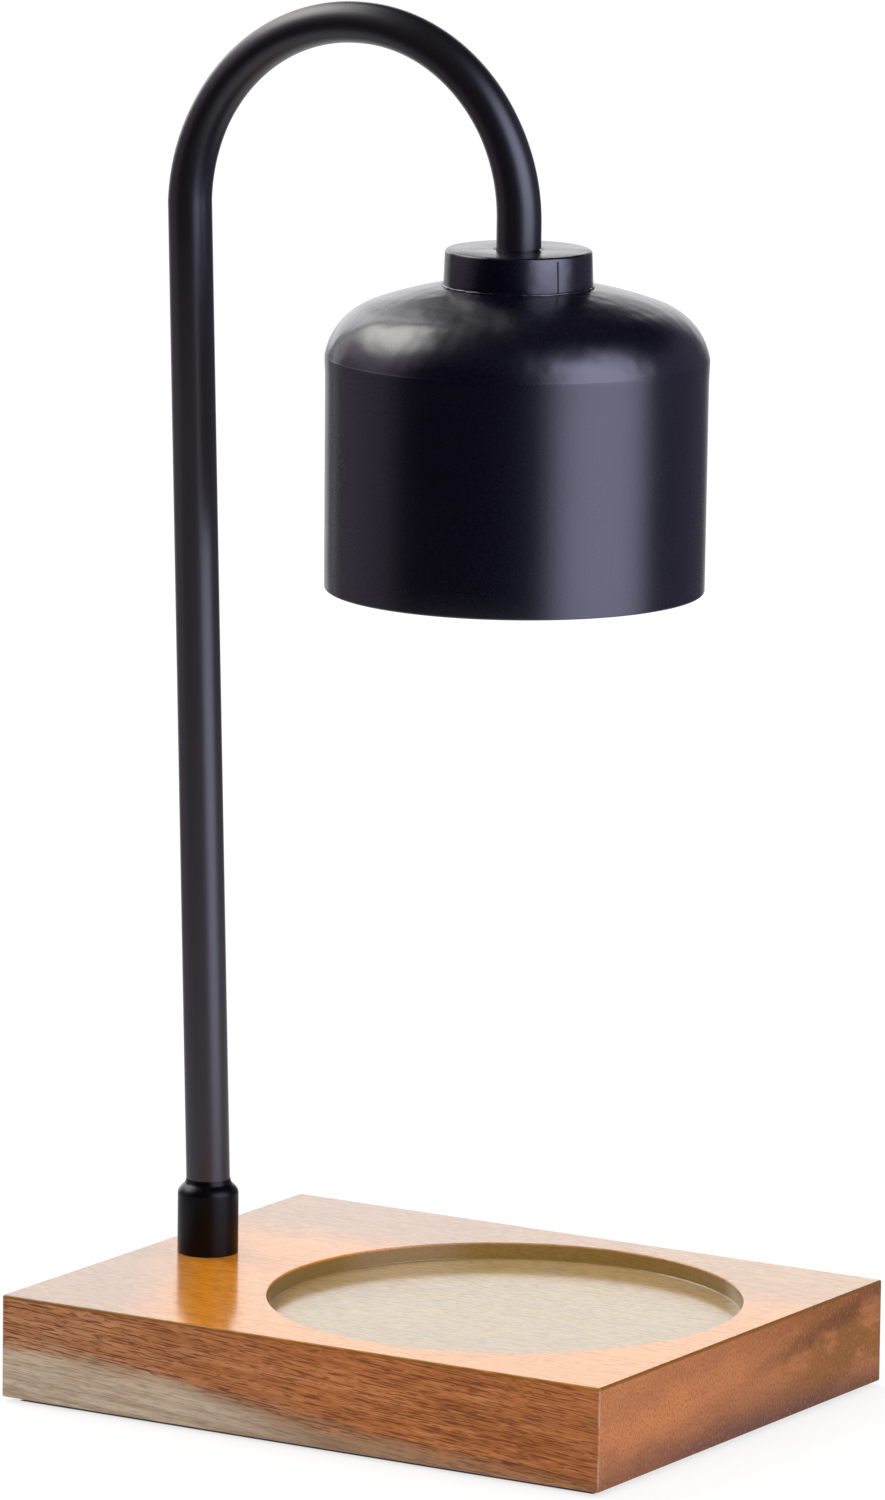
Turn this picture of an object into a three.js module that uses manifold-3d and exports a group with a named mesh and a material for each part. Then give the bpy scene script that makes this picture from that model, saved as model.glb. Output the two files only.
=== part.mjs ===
// Candle warmer lamp: a wooden base with a candle recess, a bent tube stand and a hanging shade
// with a twist-in reflector bulb. Units are millimetres, +Z is up, X runs from the stand to the
// candle end, and the origin is at the middle of the base on the plane that the feet stand on.

import * as THREE from 'three';
import { mergeVertices } from 'three/addons/utils/BufferGeometryUtils.js';
import Module from 'manifold-3d';

const wasm = await Module();
wasm.setup();

// Base block, its candle recess and the stand's place on it
const recessDiameter = 112.6;
const recessDepth = 4;
const recessEndMargin = 8.9;
const recessSideMargin = 9.45;
const legToRecess = 27.2;
const baseHeight = 24.6;
const baseEdgeBevel = 0.7;
const baseCornerRadius = 1.6;

// Stand tube, with a threaded length at each end
const tubeDiameter = 10.3;
const tubeWall = 1.1;
const threadDepth = 0.3;
const threadEnd = 0.6;
const legLeanDegrees = 1.8;
const headBendRadius = 43.3;
const crownStraight = 0.8;
const headDrop = 6.45;

// Collar round the foot of the stand
const collarWall = 1.9;
const collarHeight = 16.4;
const collarChamfer = 1.2;
const collarWeb = 2;

// Washers and nuts on the two threads
const nutAcrossFlats = 14;
const footNutHeight = 4;
const headNutHeight = 3.2;
const washerDiameter = 18;
const washerThickness = 1;
const lockWasherDiameter = 13.6;
const lockWasherThickness = 0.9;
const lockWasherGap = 1.6;

// Wiring pocket under the base
const pocketEndWall = 4.3;
const nutRoom = 2.9;
const pocketDepth = 13;
const pocketWidth = 60;
const pocketCornerRadius = 4;
const pocketRecessWall = 3;

// Pocket cover and its four screws
const coverThickness = 2;
const coverSink = 0.2;
const coverSideLip = 2;
const coverEndLip = 9;
const coverCornerRadius = 3;
const coverScrewInset = 4.6;
const screwHeadDiameter = 5.6;
const screwShankDiameter = 3;
const screwLength = 11;
const screwPoint = 2.4;
const screwSlotWidth = 0.8;
const screwSlotLength = 3.2;
const screwSlotDepth = 0.9;

// Rubber feet
const footDiameter = 12;
const footHeight = 1.2;
const footChamfer = 0.4;
const footInset = 5;

// Cord grommet in the back of the base
const grommetBodyDiameter = 8.4;
const grommetBodyLength = 12;
const grommetFlangeDiameter = 12;
const grommetFlangeThickness = 1.5;
const cordBoreDiameter = 5.6;

// Crimps in the pocket and the two leads that run from them to the lamp holder
const crimpDiameter = 5;
const crimpLength = 13;
const crimpRound = 1.2;
const crimpBoreDepth = 8;
const crimpSpacing = 10;
const crimpReach = 9;
const leadDiameter = 1.8;
const leadSpacing = 2.4;
const leadSettle = 2;
const footBendPull = 7;
const headBendPull = 3.4;

// Shade
const rimDiameter = 88.8;
const shadeFlare = 0.35;
const rimHeight = 169.4;
const shoulderRadius = 15.3;
const crownRadius = 102;
const shadeWall = 1;

// Neck cap on the shade
const capTopDiameter = 34.2;
const capDraft = 0.35;
const capHeight = 8.6;
const capWall = 1.2;
const capBevel = 0.8;
const capLanding = 0.4;

// Bracket of the lamp holder, with its screws and nuts
const bracketThickness = 1.2;
const bracketWidth = 12;
const bracketTabLength = 8.4;
const bracketEndMargin = 4.5;
const bracketTabGap = 0.2;
const holderScrewSpacing = 24;
const holderScrewDiameter = 3;
const holderScrewHeadDiameter = 5.4;
const holderScrewHeadHeight = 1.9;
const holderNutAcrossFlats = 5.5;
const holderNutHeight = 2.2;

// Ceramic lamp holder and its contacts
const holderDiameter = 26;
const holderEarHeight = 8;
const holderEarWidth = 10;
const holderEarMargin = 3.6;
const holderFaceThickness = 3.6;
const holderWeb = 1.5;
const holderChamberDiameter = 15;
const holderChamberDepth = 5.1;
const contactThickness = 1.2;

// Twist-in reflector bulb
const pinSpacing = 10;
const pinNeckDiameter = 3;
const pinPlay = 0.4;
const pinHeadDiameter = 5;
const pinHeadLength = 3;
const pinRoot = 3;
const twistDegrees = 22;
const bulbBaseLength = 17;
const bulbBaseTopDiameter = 23.6;
const bulbNeckDiameter = 27;
const bulbGrooveDepth = 0.8;
const bulbGrooveWidth = 2.4;
const reflectorDiameter = 50;
const reflectorLength = 28;
const reflectorWall = 1.5;
const reflectorFlange = 2.4;
const reflectorLip = 1;
const lensThickness = 1.4;
const lensStep = 1.1;
const lensRecess = 2.6;
const capsuleDiameter = 9;
const capsuleLength = 14;
const capsuleStemDiameter = 7;
const capsuleStemLength = 5;

// Clearances between pieces, and the overrun that every cut has
const fitClearance = 0.15;
const runClearance = 0.3;
const seatClearance = 0.05;
const overrun = 2;

// Counts of flat sides and steps on round shapes
const recessSides = 96;
const shadeSides = 48;
const turnedSides = 32;
const tubeSides = 24;
const smallSides = 16;
const leadSides = 8;
const cornerSteps = 4;
const tubeBendSteps = 15;
const leadBendSteps = 8;
const leadCurveSteps = 6;
const shoulderSteps = 8;
const crownSteps = 5;
const edgeSteps = 3;
const reflectorSteps = 6;
const slotSteps = 6;

// Plan of the base
const nutRadius = nutAcrossFlats / 2 / Math.cos(Math.PI / 6);
const recessRadius = recessDiameter / 2;
const legInset = pocketEndWall + nutRoom + nutRadius;
const baseLength = legInset + legToRecess + recessDiameter + recessEndMargin;
const baseWidth = recessDiameter + 2 * recessSideMargin;
const legX = legInset - baseLength / 2;
const shadeX = baseLength / 2 - recessEndMargin - recessRadius;

// Heights in the base
const baseBottom = footHeight;
const baseTop = baseBottom + baseHeight;
const recessFloor = baseTop - recessDepth;
const coverBottom = baseBottom + coverSink;
const coverTop = coverBottom + coverThickness;
const pocketCeiling = coverTop + pocketDepth;
const washerBottom = pocketCeiling - washerThickness;
const footLockBottom = washerBottom - lockWasherThickness;
const footNutBottom = footLockBottom - footNutHeight;
const tubeFootEnd = footNutBottom - threadEnd;
const collarTop = baseTop + collarHeight;

// Pocket and cover in plan
const pocketLength = legInset - pocketEndWall + legToRecess - pocketRecessWall;
const pocketX = legX - legInset + pocketEndWall + pocketLength / 2;
const coverLength = pocketLength + 2 * coverSideLip;
const coverWidth = pocketWidth + 2 * coverEndLip;
const grommetHeight = coverTop + pocketDepth / 2;

// Radii of the tube and what it passes through
const tubeRadius = tubeDiameter / 2;
const boreRadius = tubeRadius - tubeWall;
const threadRadius = tubeRadius - threadDepth;
const threadHoleRadius = threadRadius + fitClearance;
const collarRadius = tubeRadius + fitClearance + collarWall;

// Heights in the head, from the rim of the shade upwards
const rimBottom = baseTop + rimHeight;
const lensFace = rimBottom + lensRecess;
const neckBottom = lensFace + reflectorLength;
const bulbTop = neckBottom + bulbBaseLength;
const holderFace = bulbTop + runClearance;
const facePlateTop = holderFace + holderFaceThickness;
const pinHeadBottom = facePlateTop + pinPlay;
const pinHeadTop = pinHeadBottom + pinHeadLength;
const contactBottom = pinHeadTop + runClearance;
const contactTop = contactBottom + contactThickness;
const chamberFloor = contactTop + holderWeb;
const holderTop = chamberFloor + holderChamberDepth;
const tabTop = holderTop + bracketThickness;
const tubeHeadEnd = tabTop + bracketTabGap;
const headNutBottom = tubeHeadEnd + threadEnd;
const headLockBottom = headNutBottom + headNutHeight;
const bracketTop = headLockBottom + lockWasherThickness + bracketThickness;
const landingTop = bracketTop + shadeWall;
const capTop = landingTop + capHeight;

// Shape of the shade: a nearly straight side, a round shoulder and a shallow crown
const rimRadius = rimDiameter / 2;
const sideRadius = rimRadius + shadeFlare;
const bracketHalfLength = holderScrewSpacing / 2 + bracketEndMargin;
const bracketCorner = Math.hypot(bracketHalfLength, bracketWidth / 2) + fitClearance;
const capBottomRadius = capTopDiameter / 2 + capDraft;
const landingRadius = Math.max(capBottomRadius + capLanding, bracketCorner + fitClearance);
const crownCentre = landingTop - Math.sqrt(crownRadius ** 2 - landingRadius ** 2);
const shoulderInset = sideRadius - shoulderRadius;
const shoulderRise = Math.sqrt((crownRadius - shoulderRadius) ** 2 - shoulderInset ** 2);
const shoulderHeight = crownCentre + shoulderRise;
const crownAngle = Math.atan2(shoulderInset, shoulderRise);

// Course of the stand: plumb in the collar, a leaning leg, two bends and a plumb drop
const legLean = THREE.MathUtils.degToRad(legLeanDegrees);
const crownHeight = capTop + headDrop + headBendRadius;
const leanRun = Math.tan(legLean) * (crownHeight - collarTop);
const bendSpan = shadeX - legX - headBendRadius - crownStraight + leanRun;
const legBendRadius = bendSpan / (Math.cos(legLean) + Math.tan(legLean) * (1 + Math.sin(legLean)));
const legBendX = shadeX - headBendRadius - crownStraight;

// Twist of the bulb in its holder
const pinCircle = pinSpacing / 2;
const twistAngle = THREE.MathUtils.degToRad(twistDegrees);
const leadAngle = Math.PI - twistAngle / 2;

// Finishes
const finishes = {
  wood: { color: 0x8f5a3c, roughness: 0.3, metalness: 0 },
  blackCoat: { color: 0x14141c, roughness: 0.4, metalness: 0.2 },
  zinc: { color: 0xb4b6b8, roughness: 0.35, metalness: 0.9 },
  brass: { color: 0xb99a55, roughness: 0.35, metalness: 0.9 },
  blackPlastic: { color: 0x1a1a1a, roughness: 0.5, metalness: 0 },
  rubber: { color: 0x161616, roughness: 0.9, metalness: 0 },
  ceramic: { color: 0xe9e4d8, roughness: 0.5, metalness: 0 },
  leadSleeve: { color: 0xe6e2da, roughness: 0.6, metalness: 0 },
  mirrorGlass: { color: 0xc9ced6, roughness: 0.12, metalness: 0.7 },
  clearGlass: { color: 0xe4ecec, roughness: 0.05, metalness: 0 },
};

const lamp = new THREE.Group();
const baseGroup = new THREE.Group();
const footGroup = new THREE.Group();
const headGroup = new THREE.Group();
footGroup.position.x = legX;
headGroup.position.x = shadeX;
lamp.add(baseGroup, footGroup, headGroup);

function addPart(group, name, finish, geometry, place = [0, 0, 0]) {
  const mesh = new THREE.Mesh(geometry, new THREE.MeshStandardMaterial(finishes[finish]));
  mesh.name = name;
  mesh.position.set(...place);
  group.add(mesh);
}

// Solids for cutting and joining
function solidOf(geometry) {
  const bare = geometry.clone();
  bare.deleteAttribute('normal');
  bare.deleteAttribute('uv');
  const merged = mergeVertices(bare);
  return new wasm.Manifold(new wasm.Mesh({
    numProp: 3,
    vertProperties: new Float32Array(merged.attributes.position.array),
    triVerts: new Uint32Array(merged.index.array),
  }));
}

function geometryOf(solid) {
  const mesh = solid.getMesh();
  const geometry = new THREE.BufferGeometry();
  geometry.setAttribute('position', new THREE.BufferAttribute(mesh.vertProperties, 3));
  geometry.setIndex(new THREE.BufferAttribute(mesh.triVerts, 1));
  const faceted = geometry.toNonIndexed();
  faceted.computeVertexNormals();
  return faceted;
}

function cut(body, ...tools) {
  return geometryOf(tools.reduce((solid, tool) => solid.subtract(solidOf(tool)), solidOf(body)));
}

function join(...bodies) {
  return geometryOf(bodies.map(solidOf).reduce((whole, solid) => whole.add(solid)));
}

// Outlines
function circlePoints(radius, sides) {
  const points = [];
  for (let side = 0; side < sides; side += 1) {
    const angle = side / sides * 2 * Math.PI;
    points.push(new THREE.Vector2(radius * Math.cos(angle), radius * Math.sin(angle)));
  }
  return points;
}

function arcPoints(centreX, centreY, radius, start, end, steps) {
  const points = [];
  for (let step = 0; step <= steps; step += 1) {
    const angle = start + (end - start) * step / steps;
    points.push(new THREE.Vector2(
      centreX + radius * Math.cos(angle),
      centreY + radius * Math.sin(angle),
    ));
  }
  return points;
}

function roundedRectangle(length, width, cornerRadius) {
  const halfLength = length / 2 - cornerRadius;
  const halfWidth = width / 2 - cornerRadius;
  const quarter = Math.PI / 2;
  return new THREE.Shape([
    ...arcPoints(halfLength, halfWidth, cornerRadius, 0, quarter, cornerSteps),
    ...arcPoints(-halfLength, halfWidth, cornerRadius, quarter, 2 * quarter, cornerSteps),
    ...arcPoints(-halfLength, -halfWidth, cornerRadius, 2 * quarter, 3 * quarter, cornerSteps),
    ...arcPoints(halfLength, -halfWidth, cornerRadius, 3 * quarter, 4 * quarter, cornerSteps),
  ]);
}

function ringShape(outerRadius, innerRadius, sides) {
  const shape = new THREE.Shape(circlePoints(outerRadius, sides));
  shape.holes.push(new THREE.Path(circlePoints(innerRadius, sides)));
  return shape;
}

// Round-ended slot along a circle about the axis
function arcSlotShape(radius, halfWidth, start, end) {
  const endX = radius * Math.cos(end);
  const endY = radius * Math.sin(end);
  const startX = radius * Math.cos(start);
  const startY = radius * Math.sin(start);
  return new THREE.Shape([
    ...arcPoints(0, 0, radius + halfWidth, start, end, slotSteps),
    ...arcPoints(endX, endY, halfWidth, end, end + Math.PI, slotSteps).slice(1, -1),
    ...arcPoints(0, 0, radius - halfWidth, end, start, slotSteps),
    ...arcPoints(startX, startY, halfWidth, start + Math.PI, start + 2 * Math.PI, slotSteps).slice(1, -1),
  ]);
}

// Basic bodies, all upright on the plane z = bottom
function plate(shape, bottom, top) {
  const geometry = new THREE.ExtrudeGeometry(shape, { depth: top - bottom, bevelEnabled: false });
  return geometry.translate(0, 0, bottom);
}

function rod(radius, bottom, top, sides = smallSides) {
  return plate(new THREE.Shape(circlePoints(radius, sides)), bottom, top);
}

function ring(outerRadius, innerRadius, bottom, top, sides = tubeSides) {
  return plate(ringShape(outerRadius, innerRadius, sides), bottom, top);
}

function block(length, width, bottom, top) {
  const geometry = new THREE.BoxGeometry(length, width, top - bottom);
  return geometry.translate(0, 0, (bottom + top) / 2);
}

function turned(points, sides = turnedSides) {
  return new THREE.LatheGeometry(points, sides).rotateX(Math.PI / 2);
}

function point(radius, height) {
  return new THREE.Vector2(radius, height);
}

// Path through given stations, one step of the sweep for each
class StationPath extends THREE.Curve {
  constructor(stations) {
    super();
    this.stations = stations;
  }

  getUtoTmapping(share) {
    return share;
  }

  getPoint(share, target = new THREE.Vector3()) {
    const last = this.stations.length - 1;
    const before = Math.min(Math.floor(share * last), last - 1);
    return target.lerpVectors(this.stations[before], this.stations[before + 1], share * last - before);
  }

  getTangent(share, target = new THREE.Vector3()) {
    const last = this.stations.length - 1;
    const here = Math.round(share * last);
    const back = this.stations[Math.max(here - 1, 0)];
    const middle = this.stations[here];
    const ahead = this.stations[Math.min(here + 1, last)];
    const arriving = new THREE.Vector3().subVectors(middle, back).normalize();
    const leaving = new THREE.Vector3().subVectors(ahead, middle).normalize();
    return target.addVectors(arriving, leaving).normalize();
  }
}

function sweep(shape, stations) {
  return new THREE.ExtrudeGeometry(shape, {
    extrudePath: new StationPath(stations),
    steps: stations.length - 1,
  });
}

// Stations of the stand's centre line from the collar to the start of the drop, at a given y
function standCourse(y, steps) {
  const legBendCentre = crownHeight - legBendRadius;
  const headBendCentre = crownHeight - headBendRadius;
  const legBend = arcPoints(legBendX, legBendCentre, legBendRadius, Math.PI - legLean, Math.PI / 2, steps);
  const headBend = arcPoints(shadeX - headBendRadius, headBendCentre, headBendRadius, Math.PI / 2, 0, steps);
  return [
    new THREE.Vector3(legX, y, collarTop),
    ...[...legBend, ...headBend].map((spot) => new THREE.Vector3(spot.x, y, spot.y)),
  ];
}

// Wooden base
function buildBase() {
  const inset = 2 * baseEdgeBevel;
  const outline = roundedRectangle(baseLength - inset, baseWidth - inset, baseCornerRadius - baseEdgeBevel);
  const slab = new THREE.ExtrudeGeometry(outline, {
    depth: baseHeight - inset,
    bevelThickness: baseEdgeBevel,
    bevelSize: baseEdgeBevel,
    bevelSegments: 1,
  }).translate(0, 0, baseBottom + baseEdgeBevel);
  const recess = rod(recessRadius, recessFloor, baseTop + overrun, recessSides).translate(shadeX, 0, 0);
  const tubeHole = rod(threadHoleRadius, coverTop, baseTop + overrun, tubeSides).translate(legX, 0, 0);
  const pocket = plate(
    roundedRectangle(pocketLength, pocketWidth, pocketCornerRadius),
    baseBottom - overrun,
    pocketCeiling,
  ).translate(pocketX, 0, 0);
  const rebate = plate(
    roundedRectangle(coverLength, coverWidth, coverCornerRadius),
    baseBottom - overrun,
    coverTop,
  ).translate(pocketX, 0, 0);
  const channelStart = pocketWidth / 2 - overrun;
  const cordChannel = rod(grommetBodyDiameter / 2 + fitClearance, channelStart, baseWidth / 2 + overrun)
    .rotateX(-Math.PI / 2)
    .translate(pocketX, 0, grommetHeight);
  const flangeSeat = rod(
    grommetFlangeDiameter / 2 + fitClearance,
    baseWidth / 2 - grommetFlangeThickness,
    baseWidth / 2 + overrun,
  ).rotateX(-Math.PI / 2).translate(pocketX, 0, grommetHeight);
  const pilots = coverScrewPlaces().map(([x, y]) => rod(
    screwShankDiameter / 2 + fitClearance,
    coverBottom,
    coverBottom + screwLength + fitClearance,
  ).translate(x, y, 0));
  addPart(baseGroup, 'base_block', 'wood', cut(
    slab,
    recess,
    tubeHole,
    pocket,
    rebate,
    cordChannel,
    flangeSeat,
    ...pilots,
  ));
}

function coverScrewPlaces() {
  const x = coverLength / 2 - coverScrewInset;
  const y = coverWidth / 2 - coverScrewInset;
  return [[x, y], [-x, y], [-x, -y], [x, -y]].map(([dx, dy]) => [pocketX + dx, dy]);
}

// Cover under the base and its countersunk screws
function buildCover() {
  const sheet = plate(
    roundedRectangle(coverLength - 2 * fitClearance, coverWidth - 2 * fitClearance, coverCornerRadius),
    coverBottom,
    coverTop,
  ).translate(pocketX, 0, 0);
  const headRadius = screwHeadDiameter / 2;
  const shankRadius = screwShankDiameter / 2;
  const countersinks = coverScrewPlaces().map(([x, y]) => turned([
    point(0, coverBottom - overrun),
    point(headRadius + fitClearance, coverBottom - overrun),
    point(headRadius + fitClearance, coverBottom),
    point(shankRadius + fitClearance, coverBottom + headRadius - shankRadius),
    point(shankRadius + fitClearance, coverTop + overrun),
    point(0, coverTop + overrun),
  ], smallSides).translate(x, y, 0));
  addPart(baseGroup, 'base_cover', 'blackPlastic', cut(sheet, ...countersinks));
  coverScrewPlaces().forEach(([x, y], index) => {
    addPart(baseGroup, `cover_screw_${index + 1}`, 'zinc', woodScrew(), [x, y, coverBottom]);
  });
}

function woodScrew() {
  const headRadius = screwHeadDiameter / 2;
  const shankRadius = screwShankDiameter / 2;
  const body = turned([
    point(0, 0),
    point(headRadius, 0),
    point(shankRadius, headRadius - shankRadius),
    point(shankRadius, screwLength - screwPoint),
    point(0, screwLength),
  ], smallSides);
  const slotAlong = block(screwSlotLength, screwSlotWidth, -overrun, screwSlotDepth);
  const slotAcross = block(screwSlotWidth, screwSlotLength, -overrun, screwSlotDepth);
  return cut(body, slotAlong, slotAcross);
}

// Four rubber feet stuck to the underside
function buildFeet() {
  const radius = footDiameter / 2;
  const x = baseLength / 2 - footInset - radius;
  const y = baseWidth / 2 - footInset - radius;
  const places = [[x, y], [-x, y], [-x, -y], [x, -y]];
  places.forEach(([footX, footY], index) => {
    const geometry = turned([
      point(0, 0),
      point(radius - footChamfer, 0),
      point(radius, footChamfer),
      point(radius, footHeight),
      point(0, footHeight),
    ], smallSides);
    addPart(baseGroup, `foot_${index + 1}`, 'rubber', geometry, [footX, footY, 0]);
  });
}

// Grommet that the cord leaves the base through
function buildGrommet() {
  const bodyRadius = grommetBodyDiameter / 2;
  const boreOfCord = cordBoreDiameter / 2;
  const flangeRadius = grommetFlangeDiameter / 2;
  const outside = baseWidth / 2;
  const inside = outside - grommetFlangeThickness - grommetBodyLength;
  const profile = [
    point(boreOfCord, inside),
    point(bodyRadius, inside),
    point(bodyRadius, outside - grommetFlangeThickness),
    point(flangeRadius, outside - grommetFlangeThickness),
    point(flangeRadius, outside),
    point(boreOfCord, outside),
    point(boreOfCord, inside),
  ];
  const geometry = turned(profile, smallSides).rotateX(-Math.PI / 2);
  addPart(baseGroup, 'cord_grommet', 'rubber', geometry, [pocketX, 0, grommetHeight]);
}

// Collar round the foot of the stand
function buildCollar() {
  const holeRadius = tubeRadius + fitClearance;
  addPart(footGroup, 'collar', 'blackCoat', turned([
    point(threadHoleRadius, baseTop),
    point(collarRadius, baseTop),
    point(collarRadius, collarTop - collarChamfer),
    point(collarRadius - collarChamfer, collarTop),
    point(holeRadius, collarTop),
    point(holeRadius, baseTop + collarWeb),
    point(threadHoleRadius, baseTop + collarWeb),
    point(threadHoleRadius, baseTop),
  ]));
}

// Stand tube, turned down to its thread at both ends
function buildStand() {
  const course = [
    new THREE.Vector3(legX, 0, tubeFootEnd),
    ...standCourse(0, tubeBendSteps),
    new THREE.Vector3(shadeX, 0, tubeHeadEnd),
  ];
  const tube = sweep(ringShape(tubeRadius, boreRadius, tubeSides), course);
  const footThread = ring(
    tubeRadius + overrun,
    threadRadius,
    tubeFootEnd - overrun,
    baseTop + collarWeb,
  ).translate(legX, 0, 0);
  const headThread = ring(
    tubeRadius + overrun,
    threadRadius,
    tubeHeadEnd - overrun,
    capTop,
  ).translate(shadeX, 0, 0);
  addPart(lamp, 'arch_tube', 'blackCoat', cut(tube, footThread, headThread));
}

// Fasteners on the two threads
function hexNut(acrossFlats, holeRadius, height) {
  const shape = new THREE.Shape(circlePoints(acrossFlats / 2 / Math.cos(Math.PI / 6), 6));
  shape.holes.push(new THREE.Path(circlePoints(holeRadius, tubeSides)));
  return plate(shape, 0, height);
}

function lockWasher() {
  const outer = lockWasherDiameter / 2;
  const halfGap = Math.asin(lockWasherGap / 2 / threadHoleRadius);
  return plate(new THREE.Shape([
    ...arcPoints(0, 0, outer, halfGap, 2 * Math.PI - halfGap, turnedSides),
    ...arcPoints(0, 0, threadHoleRadius, 2 * Math.PI - halfGap, halfGap, turnedSides),
  ]), 0, lockWasherThickness);
}

function buildFasteners() {
  const washer = ring(washerDiameter / 2, threadHoleRadius, 0, washerThickness);
  const footNut = hexNut(nutAcrossFlats, threadHoleRadius, footNutHeight);
  const headNut = hexNut(nutAcrossFlats, threadHoleRadius, headNutHeight);
  addPart(footGroup, 'foot_washer', 'zinc', washer, [0, 0, washerBottom]);
  addPart(footGroup, 'foot_lock_washer', 'zinc', lockWasher(), [0, 0, footLockBottom]);
  addPart(footGroup, 'foot_nut', 'zinc', footNut, [0, 0, footNutBottom]);
  addPart(headGroup, 'head_lock_washer', 'zinc', lockWasher(), [0, 0, headLockBottom]);
  addPart(headGroup, 'head_nut', 'zinc', headNut, [0, 0, headNutBottom]);
}

// Shade, one spun shell with a flat landing under the neck cap
function shadeSkin(offset) {
  const quarter = Math.PI / 2;
  return [
    point(sideRadius - offset, shoulderHeight),
    ...arcPoints(
      shoulderInset,
      shoulderHeight,
      shoulderRadius - offset,
      0,
      quarter - crownAngle,
      shoulderSteps,
    ).slice(1),
    ...arcPoints(
      0,
      crownCentre,
      crownRadius - offset,
      quarter - crownAngle,
      Math.acos(landingRadius / crownRadius),
      crownSteps,
    ).slice(1, -1),
    point(landingRadius, landingTop - offset),
    point(threadHoleRadius, landingTop - offset),
  ];
}

function buildShade() {
  const edge = shadeWall / 2;
  const rim = arcPoints(rimRadius - edge, rimBottom + edge, edge, -Math.PI, 0, 2 * edgeSteps);
  const profile = [
    ...rim,
    ...shadeSkin(0),
    ...shadeSkin(shadeWall).reverse(),
    rim[0].clone(),
  ];
  addPart(headGroup, 'shade', 'blackCoat', turned(profile, shadeSides));
}

// Neck cap, a turned cup clamped between the tube's shoulder and the shade
function buildNeckCap() {
  const topRadius = capTopDiameter / 2;
  addPart(headGroup, 'neck_cap', 'blackCoat', turned([
    point(capBottomRadius - capWall, landingTop),
    point(capBottomRadius, landingTop),
    point(topRadius, capTop - capBevel),
    point(topRadius - capBevel, capTop),
    point(threadHoleRadius, capTop),
    point(threadHoleRadius, capTop - capWall),
    point(topRadius - capWall - capBevel, capTop - capWall),
    point(topRadius - capWall, capTop - capWall - capBevel),
    point(capBottomRadius - capWall, landingTop),
  ]));
}

// Bracket bent from strip, with the lamp holder hanging from its two tabs
function buildBracket() {
  const end = bracketHalfLength;
  const side = end - bracketThickness;
  const tab = end - bracketTabLength;
  const roof = bracketTop - bracketThickness;
  const halfProfile = [
    [end, bracketTop],
    [end, holderTop],
    [tab, holderTop],
    [tab, tabTop],
    [side, tabTop],
    [side, roof],
  ];
  const mirrored = halfProfile.map(([y, z]) => [-y, z]).reverse();
  const outline = [...halfProfile, ...mirrored].map(([y, z]) => point(y, z));
  const strip = new THREE.ExtrudeGeometry(new THREE.Shape(outline.reverse()), {
    depth: bracketWidth,
    bevelEnabled: false,
  }).translate(0, 0, -bracketWidth / 2);
  strip.applyMatrix4(new THREE.Matrix4().makeBasis(
    new THREE.Vector3(0, 1, 0),
    new THREE.Vector3(0, 0, 1),
    new THREE.Vector3(1, 0, 0),
  ));
  const centreHole = rod(threadHoleRadius, roof - overrun, bracketTop + overrun, tubeSides);
  const screwHoles = [1, -1].map((sideSign) => rod(
    holderScrewDiameter / 2 + fitClearance,
    holderTop - overrun,
    tabTop + overrun,
  ).translate(0, sideSign * holderScrewSpacing / 2, 0));
  addPart(headGroup, 'holder_bracket', 'zinc', cut(strip, centreHole, ...screwHoles));
}

// Ceramic holder with two curved key slots, a wire chamber and two screw ears
function buildHolder() {
  const body = rod(holderDiameter / 2, holderFace, holderTop, turnedSides);
  const earSpan = holderScrewSpacing + 2 * holderEarMargin;
  const ears = block(holderEarWidth, earSpan, holderTop - holderEarHeight, holderTop);
  const chamber = rod(holderChamberDiameter / 2, chamberFloor, holderTop + overrun, tubeSides);
  const tools = [chamber];
  for (const side of [0, Math.PI]) {
    const slot = arcSlotShape(pinCircle, pinNeckDiameter / 2 + runClearance, side - twistAngle, side);
    const cavity = arcSlotShape(pinCircle, pinHeadDiameter / 2 + runClearance, side - twistAngle, side);
    const entry = rod(pinHeadDiameter / 2 + runClearance, holderFace - overrun, facePlateTop);
    entry.translate(pinCircle * Math.cos(side - twistAngle), pinCircle * Math.sin(side - twistAngle), 0);
    tools.push(plate(slot, holderFace - overrun, facePlateTop + pinPlay));
    tools.push(plate(cavity, facePlateTop, contactTop));
    tools.push(entry);
  }
  for (const sign of [1, -1]) {
    const screwHole = rod(holderScrewDiameter / 2 + fitClearance, holderFace - overrun, holderTop + overrun);
    tools.push(screwHole.translate(0, sign * holderScrewSpacing / 2, 0));
    const headNotch = rod(
      holderScrewHeadDiameter / 2 + runClearance,
      holderFace - overrun,
      holderTop - holderEarHeight,
    );
    tools.push(headNotch.translate(0, sign * holderScrewSpacing / 2, 0));
    const leadHole = rod(leadDiameter / 2 + runClearance, contactTop - pinPlay, chamberFloor + overrun);
    const leadX = sign * pinCircle * Math.cos(leadAngle);
    const leadY = sign * pinCircle * Math.sin(leadAngle);
    tools.push(leadHole.translate(leadX, leadY, 0));
  }
  addPart(headGroup, 'lamp_holder', 'ceramic', cut(join(body, ears), ...tools));
}

function buildContacts() {
  const halfWidth = pinHeadDiameter / 2 + fitClearance;
  [0, Math.PI].forEach((side, index) => {
    const shape = arcSlotShape(pinCircle, halfWidth, side - twistAngle, side);
    const geometry = plate(shape, 0, contactThickness - seatClearance);
    addPart(headGroup, `holder_contact_${index + 1}`, 'brass', geometry, [0, 0, contactBottom]);
  });
}

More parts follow.
